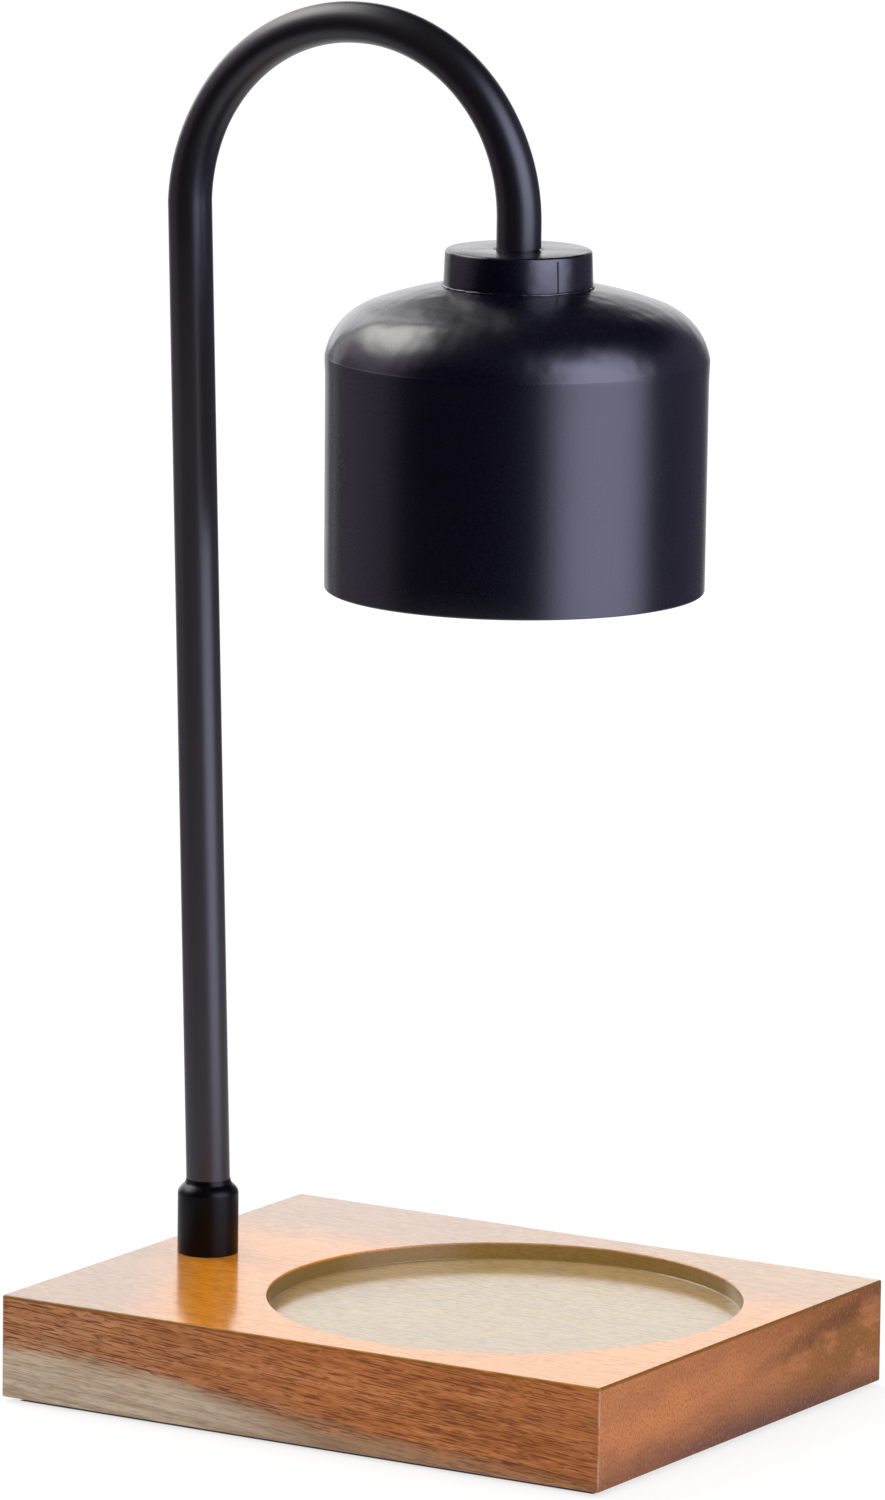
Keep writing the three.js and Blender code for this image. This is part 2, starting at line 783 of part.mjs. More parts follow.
// Screws from below through the ears, with nuts on the bracket's tabs
function buildHolderScrews() {
  const earBottom = holderTop - holderEarHeight;
  const shankRadius = holderScrewDiameter / 2;
  const headRadius = holderScrewHeadDiameter / 2;
  const shankEnd = tabTop + holderNutHeight + threadEnd;
  const headBottom = earBottom - holderScrewHeadHeight;
  const body = turned([
    point(0, headBottom),
    point(headRadius, headBottom),
    point(headRadius, earBottom),
    point(shankRadius, earBottom),
    point(shankRadius, shankEnd),
    point(0, shankEnd),
  ], smallSides);
  const slot = block(
    screwSlotWidth,
    holderScrewHeadDiameter + overrun,
    headBottom - overrun,
    headBottom + screwSlotDepth,
  );
  const screw = cut(body, slot);
  const nut = hexNut(holderNutAcrossFlats, shankRadius + fitClearance, holderNutHeight);
  [1, -1].forEach((sign, index) => {
    const y = sign * holderScrewSpacing / 2;
    addPart(headGroup, `holder_screw_${index + 1}`, 'zinc', screw, [0, y, 0]);
    addPart(headGroup, `holder_nut_${index + 1}`, 'zinc', nut, [0, y, tabTop]);
  });
}

// Leads through the tube and the crimps at their lower ends
function curveStations(start, startPull, endPull, end) {
  const curve = new THREE.CubicBezierCurve3(
    start,
    new THREE.Vector3().addVectors(start, startPull),
    new THREE.Vector3().addVectors(end, endPull),
    end,
  );
  return curve.getPoints(leadCurveSteps);
}

function buildLeads() {
  const crimpX = legX + crimpReach;
  const crimpHeight = coverTop + crimpDiameter / 2 + seatClearance;
  [1, -1].forEach((sign, index) => {
    const y = sign * leadSpacing / 2;
    const crimpY = sign * crimpSpacing / 2;
    const holderX = shadeX + sign * pinCircle * Math.cos(leadAngle);
    const holderY = sign * pinCircle * Math.sin(leadAngle);
    const foot = curveStations(
      new THREE.Vector3(crimpX, crimpY, crimpHeight),
      new THREE.Vector3(-footBendPull, 0, 0),
      new THREE.Vector3(0, 0, -footBendPull),
      new THREE.Vector3(legX, y, tubeFootEnd + leadSettle),
    );
    const head = curveStations(
      new THREE.Vector3(shadeX, y, tubeHeadEnd + threadEnd),
      new THREE.Vector3(0, 0, -headBendPull),
      new THREE.Vector3(0, 0, headBendPull),
      new THREE.Vector3(holderX, holderY, chamberFloor),
    );
    const stations = [
      new THREE.Vector3(crimpX + crimpBoreDepth - fitClearance, crimpY, crimpHeight),
      ...foot,
      ...standCourse(y, leadBendSteps),
      ...head,
      new THREE.Vector3(holderX, holderY, contactTop + seatClearance),
    ];
    const section = new THREE.Shape(circlePoints(leadDiameter / 2, leadSides));
    addPart(lamp, `lead_${index + 1}`, 'leadSleeve', sweep(section, stations));
    addPart(lamp, `crimp_${index + 1}`, 'blackPlastic', crimp(), [crimpX, crimpY, crimpHeight]);
  });
}

function crimp() {
  const radius = crimpDiameter / 2;
  const boreOfLead = leadDiameter / 2 + fitClearance;
  return turned([
    point(0, crimpBoreDepth),
    point(boreOfLead, crimpBoreDepth),
    point(boreOfLead, 0),
    point(radius, 0),
    ...arcPoints(radius - crimpRound, crimpLength - crimpRound, crimpRound, 0, Math.PI / 2, edgeSteps),
    point(0, crimpLength),
  ], smallSides).rotateY(Math.PI / 2);
}

// Reflector bulb, which twists in the holder as one body
function buildBulb() {
  const baseRadius = bulbBaseTopDiameter / 2;
  const neckRadius = bulbNeckDiameter / 2;
  const groove = baseRadius - bulbGrooveDepth;
  const stemRadius = capsuleStemDiameter / 2;
  const baseBody = turned([
    point(0, neckBottom),
    point(neckRadius, neckBottom),
    point(neckRadius, neckBottom + bulbGrooveWidth),
    point(baseRadius, bulbTop - 3 * bulbGrooveWidth),
    point(baseRadius, bulbTop - 2 * bulbGrooveWidth),
    point(groove, bulbTop - 2 * bulbGrooveWidth),
    point(groove, bulbTop - bulbGrooveWidth),
    point(baseRadius, bulbTop - bulbGrooveWidth),
    point(baseRadius, bulbTop),
    point(0, bulbTop),
  ]);
  const stemHole = rod(
    stemRadius + fitClearance,
    neckBottom - overrun,
    neckBottom + capsuleStemLength + fitClearance,
  );
  const pinHoles = [1, -1].map((sign) => rod(
    pinNeckDiameter / 2 + seatClearance,
    bulbTop - pinRoot,
    bulbTop + overrun,
  ).translate(sign * pinCircle, 0, 0));
  addPart(headGroup, 'bulb_base', 'ceramic', cut(baseBody, stemHole, ...pinHoles));
  buildPins();
  buildReflector(neckRadius);
  buildCapsule(stemRadius);
}

function buildPins() {
  const neckRadius = pinNeckDiameter / 2;
  const headRadius = pinHeadDiameter / 2;
  const pin = turned([
    point(0, bulbTop - pinRoot),
    point(neckRadius, bulbTop - pinRoot),
    point(neckRadius, pinHeadBottom),
    point(headRadius, pinHeadBottom),
    point(headRadius, pinHeadTop),
    point(0, pinHeadTop),
  ], smallSides);
  [1, -1].forEach((sign, index) => {
    addPart(headGroup, `bulb_pin_${index + 1}`, 'brass', pin, [sign * pinCircle, 0, 0]);
  });
}

// Bowl whose section is a parabola from the neck to the flange
function bowlPoints(neckRadius, frontRadius, bottom, top) {
  const points = [];
  for (let step = 0; step <= reflectorSteps; step += 1) {
    const depthShare = step / reflectorSteps;
    const squared = frontRadius ** 2 + (neckRadius ** 2 - frontRadius ** 2) * depthShare;
    points.push(point(Math.sqrt(squared), bottom + (top - bottom) * depthShare));
  }
  return points;
}

function buildReflector(neckRadius) {
  const outerRadius = reflectorDiameter / 2;
  const flangeTop = lensFace + reflectorFlange;
  const bowlRadius = outerRadius - reflectorLip;
  const mirrorRadius = bowlRadius - reflectorWall;
  const lensRadius = mirrorRadius + lensStep;
  addPart(headGroup, 'bulb_reflector', 'mirrorGlass', turned([
    point(lensRadius, lensFace),
    point(outerRadius, lensFace),
    point(outerRadius, flangeTop),
    ...bowlPoints(neckRadius, bowlRadius, flangeTop, neckBottom),
    ...bowlPoints(neckRadius - reflectorWall, mirrorRadius, flangeTop, neckBottom).reverse(),
    point(lensRadius, flangeTop),
    point(lensRadius, lensFace),
  ]));
  const lens = rod(lensRadius - fitClearance, flangeTop - lensThickness, flangeTop, turnedSides);
  addPart(headGroup, 'bulb_lens', 'clearGlass', lens);
}

function buildCapsule(stemRadius) {
  const radius = capsuleDiameter / 2;
  const tip = neckBottom - capsuleLength;
  addPart(headGroup, 'bulb_capsule', 'clearGlass', turned([
    ...arcPoints(0, tip + radius, radius, -Math.PI / 2, 0, edgeSteps + 2),
    point(radius, neckBottom - capsuleStemDiameter / 2),
    point(stemRadius, neckBottom),
    point(stemRadius, neckBottom + capsuleStemLength),
    point(0, neckBottom + capsuleStemLength),
  ], smallSides));
}

buildBase();
buildCover();
buildFeet();
buildGrommet();
buildCollar();
buildStand();
buildFasteners();
buildShade();
buildNeckCap();
buildBracket();
buildHolder();
buildContacts();
buildHolderScrews();
buildLeads();
buildBulb();

export default lamp;
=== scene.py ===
# Candle warmer lamp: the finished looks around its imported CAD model.
# Settings give lengths in millimetres and angles in degrees; mm turns them into Blender's metres.
import math

import bmesh
import bpy
from mathutils import Matrix, Vector, noise as noiseField


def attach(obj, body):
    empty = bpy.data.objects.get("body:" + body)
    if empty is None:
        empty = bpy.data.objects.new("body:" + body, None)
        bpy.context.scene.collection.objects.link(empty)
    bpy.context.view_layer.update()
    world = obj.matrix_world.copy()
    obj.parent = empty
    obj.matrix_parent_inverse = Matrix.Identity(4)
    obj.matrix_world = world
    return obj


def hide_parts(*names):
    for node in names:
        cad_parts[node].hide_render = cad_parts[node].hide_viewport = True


mm = 0.001
upAxis = Vector((0, 0, 1))
sideAxis = Vector((0, 1, 0))


def turned(angle, axis, size=3):
    return Matrix.Rotation(math.radians(angle), size, axis)


def moved(*place):
    return Matrix.Translation(Vector(place) * mm)


print("stage: frame")
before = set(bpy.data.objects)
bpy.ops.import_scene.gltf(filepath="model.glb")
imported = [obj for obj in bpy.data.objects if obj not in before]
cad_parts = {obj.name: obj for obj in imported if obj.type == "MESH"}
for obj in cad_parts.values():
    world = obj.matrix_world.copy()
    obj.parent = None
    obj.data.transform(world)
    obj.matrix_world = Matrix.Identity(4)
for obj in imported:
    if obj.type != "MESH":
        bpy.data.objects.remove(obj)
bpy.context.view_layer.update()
scene = bpy.context.scene


# Camera, as the photograph was taken
cameraView = {
    "place": (1278.2, -2091.4, 603.2),
    "heading": 31.478,
    "dip": 10.358,
    "roll": 0.690,
    "lens": 254.73,
    "sensor": 36,
    "reach": 60,
}


def placeCamera():
    data = bpy.data.cameras.new("photoCamera")
    data.sensor_width = cameraView["sensor"]
    data.lens = cameraView["lens"]
    data.clip_end = cameraView["reach"]
    camera = bpy.data.objects.new("photoCamera", data)
    camera.location = Vector(cameraView["place"]) * mm
    facing = turned(cameraView["heading"], "Z") @ turned(90 - cameraView["dip"], "X")
    camera.rotation_euler = (facing @ turned(cameraView["roll"], "Z")).to_euler()
    scene.collection.objects.link(camera)
    scene.camera = camera


print("stage: camera")
placeCamera()


def objectFrom(bm, name):
    mesh = bpy.data.meshes.new(name)
    bm.to_mesh(mesh)
    bm.free()
    made = bpy.data.objects.new(name, mesh)
    scene.collection.objects.link(made)
    return made


# Short ways to write nodes, which all go into the tree started last
writing = {}


def startTree(owner):
    owner.use_nodes = True
    writing["nodes"] = owner.node_tree.nodes
    writing["nodes"].clear()
    return owner


def newMaterial(name):
    return startTree(bpy.data.materials.new(name))


def addNode(kind, sockets=None, **choices):
    made = writing["nodes"].new("ShaderNode" + kind)
    for name, choice in choices.items():
        setattr(made, name, choice)
    for socket, value in (sockets or {}).items():
        if isinstance(value, bpy.types.NodeSocket):
            made.id_data.links.new(value, made.inputs[socket])
        else:
            made.inputs[socket].default_value = value
    return made


def calc(operation, *values):
    return addNode("Math", dict(enumerate(values)), operation=operation).outputs[0]


def allOf(total, *shares):
    for share in shares:
        total = calc("MULTIPLY", total, share)
    return total


def vectorMath(operation, *vectors, output="Vector"):
    return addNode("VectorMath", dict(enumerate(vectors)), operation=operation).outputs[output]


def smoothShare(value, low, high, lowResult=0.0, highResult=1.0):
    sockets = {0: value, 1: low, 2: high, 3: lowResult, 4: highResult}
    return addNode("MapRange", sockets, interpolation_type="SMOOTHSTEP").outputs[0]


def mixColour(share, first, second):
    return addNode("Mix", {0: share, 6: first, 7: second}, data_type="RGBA").outputs[2]


def scaled(vector, factor):
    return addNode("VectorMath", {0: vector, 3: factor}, operation="SCALE").outputs[0]


def partsOf(vector):
    return addNode("SeparateXYZ", {0: vector}).outputs


def millimetres():
    return scaled(addNode("TexCoord").outputs["Object"], 1 / mm)


def noise(vector, scale, detail=2.0, roughness=0.5):
    sockets = {"Vector": vector, "Scale": scale, "Detail": detail, "Roughness": roughness}
    return addNode("TexNoise", sockets).outputs[0]


def bump(height, depth, strength=1.0, under=None):
    sockets = {"Height": height, "Distance": depth * mm, "Strength": strength}
    if under is not None:
        sockets["Normal"] = under
    return addNode("Bump", sockets).outputs[0]


def surface(sockets):
    shader = addNode("BsdfPrincipled", sockets)
    addNode("OutputMaterial", {"Surface": shader.outputs[0]})


def paint(red, green, blue):
    channels = []
    for part in (red, green, blue):
        share = part / 255
        channels.append(share / 12.92 if share <= 0.04045 else ((share + 0.055) / 1.055) ** 2.4)
    return (*channels, 1.0)


# Floor, world and lamps of the studio; headings are seen from the lamp, 0 along -Y and 90 along +X
studio = {
    "floorReach": 14000,
    "floorPaint": (225, 225, 225),
    "floorShadow": 0.3,
    "floorLift": (0.73, 0.89),
    "liftReach": (150, 1500),
    "floorFootprint": (78.9, 62.7, 0.4),
    "ambient": 0.42,
    "tableReach": (240, 620),
    "tableGlow": 0.6,
    "wallsFrom": (95, 200),
    "glimmer": 0.003,
    "zenith": 0.03,
    "zenithFrom": (0.45, 0.9),
    "white": (1, 1, 1, 1),
}

# Walls that only reflections show. In a row: heading, half width at full and at no glow, heights where
# it fades in and where it fades out, glow, tint, and the share of its glow on the floor below it
surroundings = {
    "keyWall": (83.7, (8, 39.5), (-90, -89), (35, 68), 3.8, (0.785, 0.80, 1.0), 0.63),
    "highWall": (-90.5, (12, 41), (20, 38), (50, 64), 5.4, (1.0, 0.985, 0.89), 0.0),
    "backdrop": (215.5, (10, 32), (-90, -89), (13, 23), 1.75, (1.0, 1.0, 1.0), 0.55),
    "backLeft": (238.5, (8, 20), (-90, -89), (45, 62), 2.0, (1.0, 1.0, 1.0), 0.3),
    "leftWall": (287.5, (12, 37), (-14, 32), (34, 48), 0.9, (1.0, 0.80, 0.98), 0.27),
    "rightWall": (165, (20, 60), (-90, -89), (20, 38), 0.22, (0.78, 0.70, 1.0), 0.8),
}

# Lamps that only light matt surfaces: heading, height, distance, height of the aim, size, glow, tint
studioLamps = {
    "keyPanel": (86, 560, 1100, 560, (900, 1120), 1.5, (0.96, 0.975, 1.0)),
    "highPanel": (-92, 1050, 800, 240, (840, 640), 3.4, (1.0, 0.99, 0.98)),
    "frontFill": (12, 800, 1300, 120, (1100, 900), 3.1, (1.0, 0.99, 0.98)),
    "topPanel": (180, 1500, 300, 0, (900, 900), 1.95, (1.0, 0.995, 0.985)),
}


def heading(angle):
    return Vector((math.sin(math.radians(angle)), -math.cos(math.radians(angle)), 0))


def fadeOver(value, limits, trig, *shares):
    low, high = (trig(math.radians(angle)) for angle in limits)
    return smoothShare(value, low, high, *shares)


def glowAround(place, rise=None):
    level = vectorMath("NORMALIZE", vectorMath("MULTIPLY", place, (1, 1, 0)))
    total = None
    for facing, width, foot, top, glow, tint, onFloor in surroundings.values():
        toward = vectorMath("DOT_PRODUCT", level, heading(facing), output="Value")
        share = fadeOver(toward, width[::-1], math.cos, 0.0, glow)
        if rise is None:
            share = allOf(share, onFloor)
        else:
            share = allOf(share, fadeOver(rise, foot, math.sin))
            share = allOf(share, fadeOver(rise, top, math.sin, 1.0, 0.0))
        tinted = scaled(tint, share)
        total = tinted if total is None else vectorMath("MAXIMUM", total, tinted)
    return vectorMath("ADD", total, (studio["glimmer"],) * 3)


def lightPath():
    rays = addNode("LightPath").outputs
    mirrored = calc("MAXIMUM", rays["Is Glossy Ray"], rays["Is Transmission Ray"])
    return rays["Is Camera Ray"], mirrored


def makeWorld():
    scene.world = startTree(bpy.data.worlds.new("studioWorld"))
    scene.world.cycles.sampling_method = "NONE"
    fromCamera, mirrored = lightPath()
    direction = addNode("TexCoord").outputs["Generated"]
    rise = partsOf(direction)[2]
    above = smoothShare(rise, *studio["zenithFrom"], 0.0, studio["zenith"])
    seen = vectorMath("ADD", glowAround(direction, rise), above)
    plain = mixColour(mirrored, (*[studio["ambient"]] * 3, 1), seen)
    shown = mixColour(fromCamera, plain, studio["white"])
    backdrop = addNode("Background", {"Color": shown, "Strength": 1.0})
    addNode("OutputWorld", {"Surface": backdrop.outputs[0]})


def underBase(place):
    *halves, soft = (size * mm for size in studio["floorFootprint"])
    across = []
    for part, half in zip(partsOf(place), halves):
        away = calc("ABSOLUTE", part)
        across.append(smoothShare(away, half - soft, half + soft, 1.0, 0.0))
    return allOf(*across)


def mixShader(share, first, second):
    return addNode("MixShader", {0: share, 1: first.outputs[0], 2: second.outputs[0]})


def farShare(far, name, *shares):
    near, edge = (size * mm for size in studio[name])
    return smoothShare(far, near, edge, *shares)


# Pale to the camera but for the shadow on it, a lit table and the foot of the walls to a reflection,
# plain matt to the lamps, and open from beneath
def makeFloorPaint():
    material = newMaterial("paleFloor")
    material.cycles.emission_sampling = "NONE"
    fromCamera, mirrored = lightPath()
    place = addNode("TexCoord").outputs["Object"]
    far = vectorMath("LENGTH", place, output="Value")
    table = farShare(far, "tableReach", studio["tableGlow"], 0.0)
    walls = scaled(glowAround(place), farShare(far, "wallsFrom"))
    glow = vectorMath("MAXIMUM", table, walls)
    matt = addNode("BsdfDiffuse", {"Color": paint(*studio["floorPaint"])})
    glowing = addNode("Emission", {"Color": glow, "Strength": 1.0})
    around = mixShader(mirrored, matt, glowing)
    shadow = addNode("BsdfDiffuse", {"Color": (*[studio["floorShadow"]] * 3, 1)})
    level = farShare(far, "liftReach", *studio["floorLift"])
    # Under the base's footprint the lift is left out by position, so the floor there shows dark: a
    # painted contact shadow over the real one
    clearOf = calc("SUBTRACT", 1.0, underBase(place))
    lift = addNode("Emission", {"Strength": allOf(clearOf, level)})
    pale = addNode("AddShader", {0: shadow.outputs[0], 1: lift.outputs[0]})
    under = addNode("NewGeometry").outputs["Backfacing"]
    shown = mixShader(fromCamera, around, pale)
    final = mixShader(under, shown, addNode("BsdfTransparent"))
    addNode("OutputMaterial", {"Surface": final.outputs[0]})
    return material


def makeFloor():
    bm = bmesh.new()
    bmesh.ops.create_grid(bm, x_segments=1, y_segments=1, size=studio["floorReach"] * mm)
    floor = objectFrom(bm, "studioFloor")
    floor.data.materials.append(makeFloorPaint())


def hangLamp(name, facing, height, distance, aimHeight, size, glow, tint):
    data = bpy.data.lights.new(name, "AREA")
    data.shape = "RECTANGLE"
    data.size, data.size_y = (side * mm for side in size)
    data.energy = glow * math.pi * data.size * data.size_y
    data.color = tint
    lamp = bpy.data.objects.new(name, data)
    place = heading(facing) * distance + upAxis * height
    lamp.location = place * mm
    lamp.rotation_euler = (upAxis * aimHeight - place).to_track_quat("-Z", "Y").to_euler()
    for rays in ("camera", "glossy", "transmission"):
        setattr(lamp, f"visible_{rays}", False)
    scene.collection.objects.link(lamp)


print("stage: studio")
makeWorld()
makeFloor()
for lampName, lampPanel in studioLamps.items():
    hangLamp(lampName, *lampPanel)
scene.view_settings.view_transform = "Standard"


# Wooden base: a slab with a candle recess on top and the wiring pocket below
slab = {
    "size": (163.983, 131.5),
    "bottom": 1.2,
    "top": 25.8,
    "cornerRadius": 0.6,
    "edgeRadius": 0.45,
    "recess": (16.791, 0, 56.3),
    "recessFloor": 21.8,
    "recessRound": 0.35,
    "pocket": (-60.1, 35.2, 60.0, 4.0, 16.4),
    "rebate": (-60.1, 39.2, 78.0, 3.0, 3.4),
    "tubeHole": (-66.709, 0, 5.0),
    "channel": (-60.1, 9.9, 4.35, 6.15, 1.5),
    "channelFrom": 28,
    "pilots": (15.0, 34.4, 1.65, 12.55),
    "pilotFrom": 2,
    "overrun": 3,
    "recessSides": 160,
    "holeSides": 48,
    "pilotSides": 24,
    "outerFaces": 0.05,
}


# Finishes. A pattern is given as scale, detail and roughness of its noise
satinCoat = {
    "colour": (4, 3, 15),
    "worn": (70, 68, 72),
    "tint": (0.90, 0.90, 1.0, 1),
    "gloss": 1.0,
    "roughness": 0.27,
    "spread": 0.05,
    "wave": (0.075, 2.0),
    "waveDepth": 0.55,
    "waveFrom": (249, 253),
    "peel": (1.3, 2.0, 0.45),
    "peelDepth": 0.010,
    "grain": (6.0, 2.0),
    "grainDepth": 0.003,
    "grainSpread": 0.06,
    "cloud": (0.06, 3.0),
    "dust": (1.9, 4.0, 0.7),
    "dustFrom": (0.70, 0.78, 0.0, 0.2),
}

tubeCoat = {
    **satinCoat,
    "colour": (12, 10, 16),
    "paintedLowerSheen": (38, 35, 39),
    # paler towards the foot of the leg: painted reflection of the bright surroundings low down
    "lowerSheenReach": (220, 300),
    "gloss": 0.8,
    "roughness": 0.34,
    "waveDepth": 0.0,
    "grainDepth": 0.005,
}

collarCoat = {
    **satinCoat,
    "colour": (4, 3, 6),
    "gloss": 0.22,
    "roughness": 0.30,
    "waveDepth": 0.0,
}


def makeCoat(name, coat):
    material = newMaterial(name)
    spot = millimetres()
    height = partsOf(spot)[2]
    names = ("cloud", "grain", "peel", "dust")
    cloud, fine, peel, dust = (noise(spot, *coat[name]) for name in names)
    dust = smoothShare(dust, *coat["dustFrom"])
    dark = paint(*coat["colour"])
    # Below the given heights the coat's colour is painted paler: a painted reflection, not dust
    if "paintedLowerSheen" in coat:
        above = smoothShare(height, *coat["lowerSheenReach"])
        dark = mixColour(above, paint(*coat["paintedLowerSheen"]), dark)
    colour = mixColour(dust, dark, paint(*coat["worn"]))
    level = coat["roughness"] - coat["spread"] / 2 - coat["grainSpread"] / 2
    level = calc("MULTIPLY_ADD", cloud, coat["spread"], level)
    level = calc("MULTIPLY_ADD", fine, coat["grainSpread"], level)
    relief = bump(peel, coat["peelDepth"])
    relief = bump(fine, coat["grainDepth"], under=relief)
    if coat["waveDepth"]:
        wave = calc("SUBTRACT", noise(spot, *coat["wave"]), 0.5)
        wave = allOf(wave, smoothShare(height, *coat["waveFrom"]))
        relief = bump(wave, coat["waveDepth"], under=relief)
    surface({
        "Base Color": colour,
        "Roughness": level,
        "Normal": relief,
        "Specular IOR Level": coat["gloss"],
        "Specular Tint": coat["tint"],
    })
    return material


# Lacquered board: the grain runs along X and dips towards +X, with pale sapwood low on the front
wood = {
    "tones": {
        "heart": (180, 109, 60),
        "heartLight": (198, 134, 84),
        "heartDark": (144, 82, 40),
        "heartPale": (174, 129, 95),
        "sap": (192, 178, 157),
        "sapDark": (169, 151, 129),
        "sapShade": (134, 110, 86),
        "seam": (104, 76, 48),
        "pore": (82, 44, 22),
        "top": (243, 150, 24),
        # the paler, greyer top tone is a painted reflection: the lacquer's glare along the back and the
        # left end
        "topPaintedGlare": (168, 131, 100),
        "topGolden": (186, 142, 92),
        "brim": (120, 74, 20),
        "end": (211, 133, 82),
        "endDark": (152, 92, 60),
        "endFoot": (108, 72, 62),
        "endStreak": (86, 52, 26),
        "endYellow": (136, 86, 26),
        "endPit": (92, 48, 32),
        "endLight": (216, 156, 116),
        "recess": (192, 162, 108),
        # darker wall tone: painted shade at the recess wall and the floor's edge
        "recessWallShade": (142, 114, 58),
        "worn": (190, 170, 150),
    },
    # grain patterns: scale along X, Y and Z, detail, roughness; the first ones lean with the grain
    "leaning": {
        "drift": ((0.016, 0.03, 0.04), 3.0, 0.5),
        "wander": ((0.045, 0.10, 0.30), 2.0, 0.5),
        "streak": ((0.030, 0.50, 0.62), 4.0, 0.6),
        "fibre": ((0.16, 2.2, 3.0), 3.0, 0.65),
        "longPore": ((0.13, 1.6, 3.1), 1.5, 0.35),
        "shortPore": ((0.30, 2.4, 3.9), 1.0, 0.3),
        "fleck": ((0.22, 1.5, 2.3), 1.0, 0.3),
    },
    "upright": {
        "cloud": ((0.020, 0.030, 0.09), 2.0, 0.5),
        "scratch": ((0.0, 2.1, 0.75), 2.0, 0.6),
        "pit": ((0.0, 2.6, 1.3), 2.0, 0.55),
        "patch": ((0.0, 0.045, 0.12), 4.0, 0.6),
    },
    # tone laid over tone: the pattern it follows, from where to where, and its share at both
    "layers": {
        "heart": [
            ("x", "heartPale", -84.0, 30.0, 0.75, 0.0),
            ("streak", "heartDark", 0.58, 0.34, 0.0, 0.62),
            ("streak", "heartLight", 0.50, 0.74, 0.0, 0.55),
            ("cloud", "heartDark", 0.56, 0.40, 0.0, 0.35),
            ("x", "heartDark", 30.0, 80.0, 0.0, 0.30),
        ],
        "sap": [
            ("streak", "sap", 0.36, 0.60),
            ("x", "sapShade", -35.0, 15.0, 0.0, 0.75),
        ],
        "end": [("patch", "endDark", 0.32, 0.64, 0.42, 0.06)],
        "endMarks": [
            ("scratch", "endLight", 0.53, 0.68, 0.0, 0.30),
            ("pit", "endPit", 0.53, 0.68, 0.0, 0.66),
        ],
        # the painted glare on the top turns golden towards +X
        "glare": [("x", "topGolden", -30.0, 50.0)],
        "topMarks": [("streak", "brim", 0.52, 0.36, 0.0, 0.25)],
        "recess": [
            ("streak", "sapDark", 0.38, 0.60, 0.5, 0.0),
            ("fibre", "heartDark", 0.54, 0.40, 0.0, 0.2),
        ],
    },
    # where a mark shows: the patterns it follows, from where to where, and its share at both
    "where": {
        "sap": [("x", -10.0, 75.0, 0.92, 0.40)],
        "seam": [("wander", 0.35, 0.6, 0.0, 0.6)],
        "fibre": [("fibre", 0.54, 0.34, 0.0, 0.36)],
        "fleck": [("fleck", 0.40, 0.34, 0.0, 0.34)],
        "pores": [("x", -70.0, 10.0, 0.84, 0.70)],
        "corner": [("fibre", 0.3, 0.6, 0.0, 0.55)],
        "ends": [("awayX", 81.7, 81.92)],
        "farHalf": [("y", -12.0, 48.0)],
        "yellow": [("patch", 0.36, 0.54, 0.0, 0.85)],
        "high": [("y", -50.0, 40.0, 0.15, 0.55), ("z", 15.0, 25.5)],
        "footRise": [("y", 20.0, 60.0, 0.0, 3.0)],
        "foot": [("y", -66.0, 0.0, 0.7, 1.0)],
        "top": [("z", 25.0, 25.6)],
        "brim": [("z", 24.9, 25.3), ("fibre", 0.25, 0.60, 0.55, 0.95)],
        "recess": [("z", 25.1, 25.6, 1.0, 0.0), ("z", 19.5, 20.5)],
        "rubbed": [("wander", 0.42, 0.62, 0.0, 0.5), ("z", 25.0, 20.0)],
    },
    # the same for values worked out from the patterns
    "spans": {
        "crowdDrift": (0.36, 0.60, 0.025, -0.01),
        "crowdLeft": (-80.0, 20.0, -0.02, 0.0),
        "longPore": (0.56, 0.63),
        "shortPore": (0.59, 0.65, 0.0, 0.8),
        "sapEdge": (-3.6, 2.6, 1.0, 0.0),
        "onHeart": (0.2, 0.9, 1.0, 0.36),
        "footUp": (4.0, 16.0, 0.95, 0.0),
        "glare": (-0.2, 1.2, 0.0, 0.9),
    },
    # how far each pattern moves a line
    "wobbles": {
        "sapEdge": {"drift": 6.0, "wander": 4.0, "streak": 9.0},
        "endStreak": {"patch": 10.0, "scratch": 5.0},
        "glare": {"drift": 1.2, "streak": 1.6},
    },
    "half": (81.99, 65.75),
    "slope": 0.07,
    "sapHeight": 8.5,
    "sapBack": (65.0, 0.11),
    "seamBand": (0.2, 1.5),
    "corner": (2.6, 0.5),
    "endStreak": (12.9, 0.17),
    "endStreakBand": (0.4, 3.6),
    "endStreakShare": 0.8,
    "footPatch": 6.0,
    # where the painted glare of the top reaches: its slant, and its starts and widths from the left end
    # and the back
    "glareSlant": 0.45,
    "glareLeft": (-64.0, 18.0),
    "glareBack": (3.0, 38.0),
    "topPores": 0.4,
    "brim": (0.5, 0.3),
    "recessMouth": (0.1, 0.4),
    "recessWallShade": (0.4, 0.1),
    "recessPores": 0.32,
    "rubbed": (0.45, 0.15),
    "relief": {"fibre": (0.012, 0.6), "pores": (0.03, 0.8)},
    "glaze": {"fibre": (0.006, 0.5), "pores": (0.010, 0.6)},
    "roughness": 0.42,
    "fibreRoughness": 0.2,
    "gloss": 0.1,
    "varnish": 0.15,
    "bending": 1.5,
    "lacquer": 1.0,
    "sideLacquer": 0.2,
}


def band(value, solid, gone):
    return smoothShare(calc("ABSOLUTE", value), solid, gone, 1.0, 0.0)


def woodSpan(value, name):
    return smoothShare(value, *wood["spans"][name])


def where(board, mark):
    shares = [smoothShare(board[pattern], *span) for pattern, *span in wood["where"][mark]]
    return allOf(*shares)


# How near a place is to the outer faces, on X and on Y
def nearFaces(board, name):
    near = []
    for away, half in zip((board["awayX"], board["awayY"]), wood["half"]):
        start, full = (half - inset for inset in wood[name])
        near.append(smoothShare(away, start, full))
    return near


def layTones(board, colour, name):
    for pattern, tone, *span in wood["layers"][name]:
        share = smoothShare(board[pattern], *span)
        colour = mixColour(share, colour, board["tones"][tone])
    return colour


def wobble(board, line, name):
    for pattern, reach in wood["wobbles"][name].items():
        line = calc("MULTIPLY_ADD", calc("SUBTRACT", board[pattern], 0.5), reach, line)
    return line


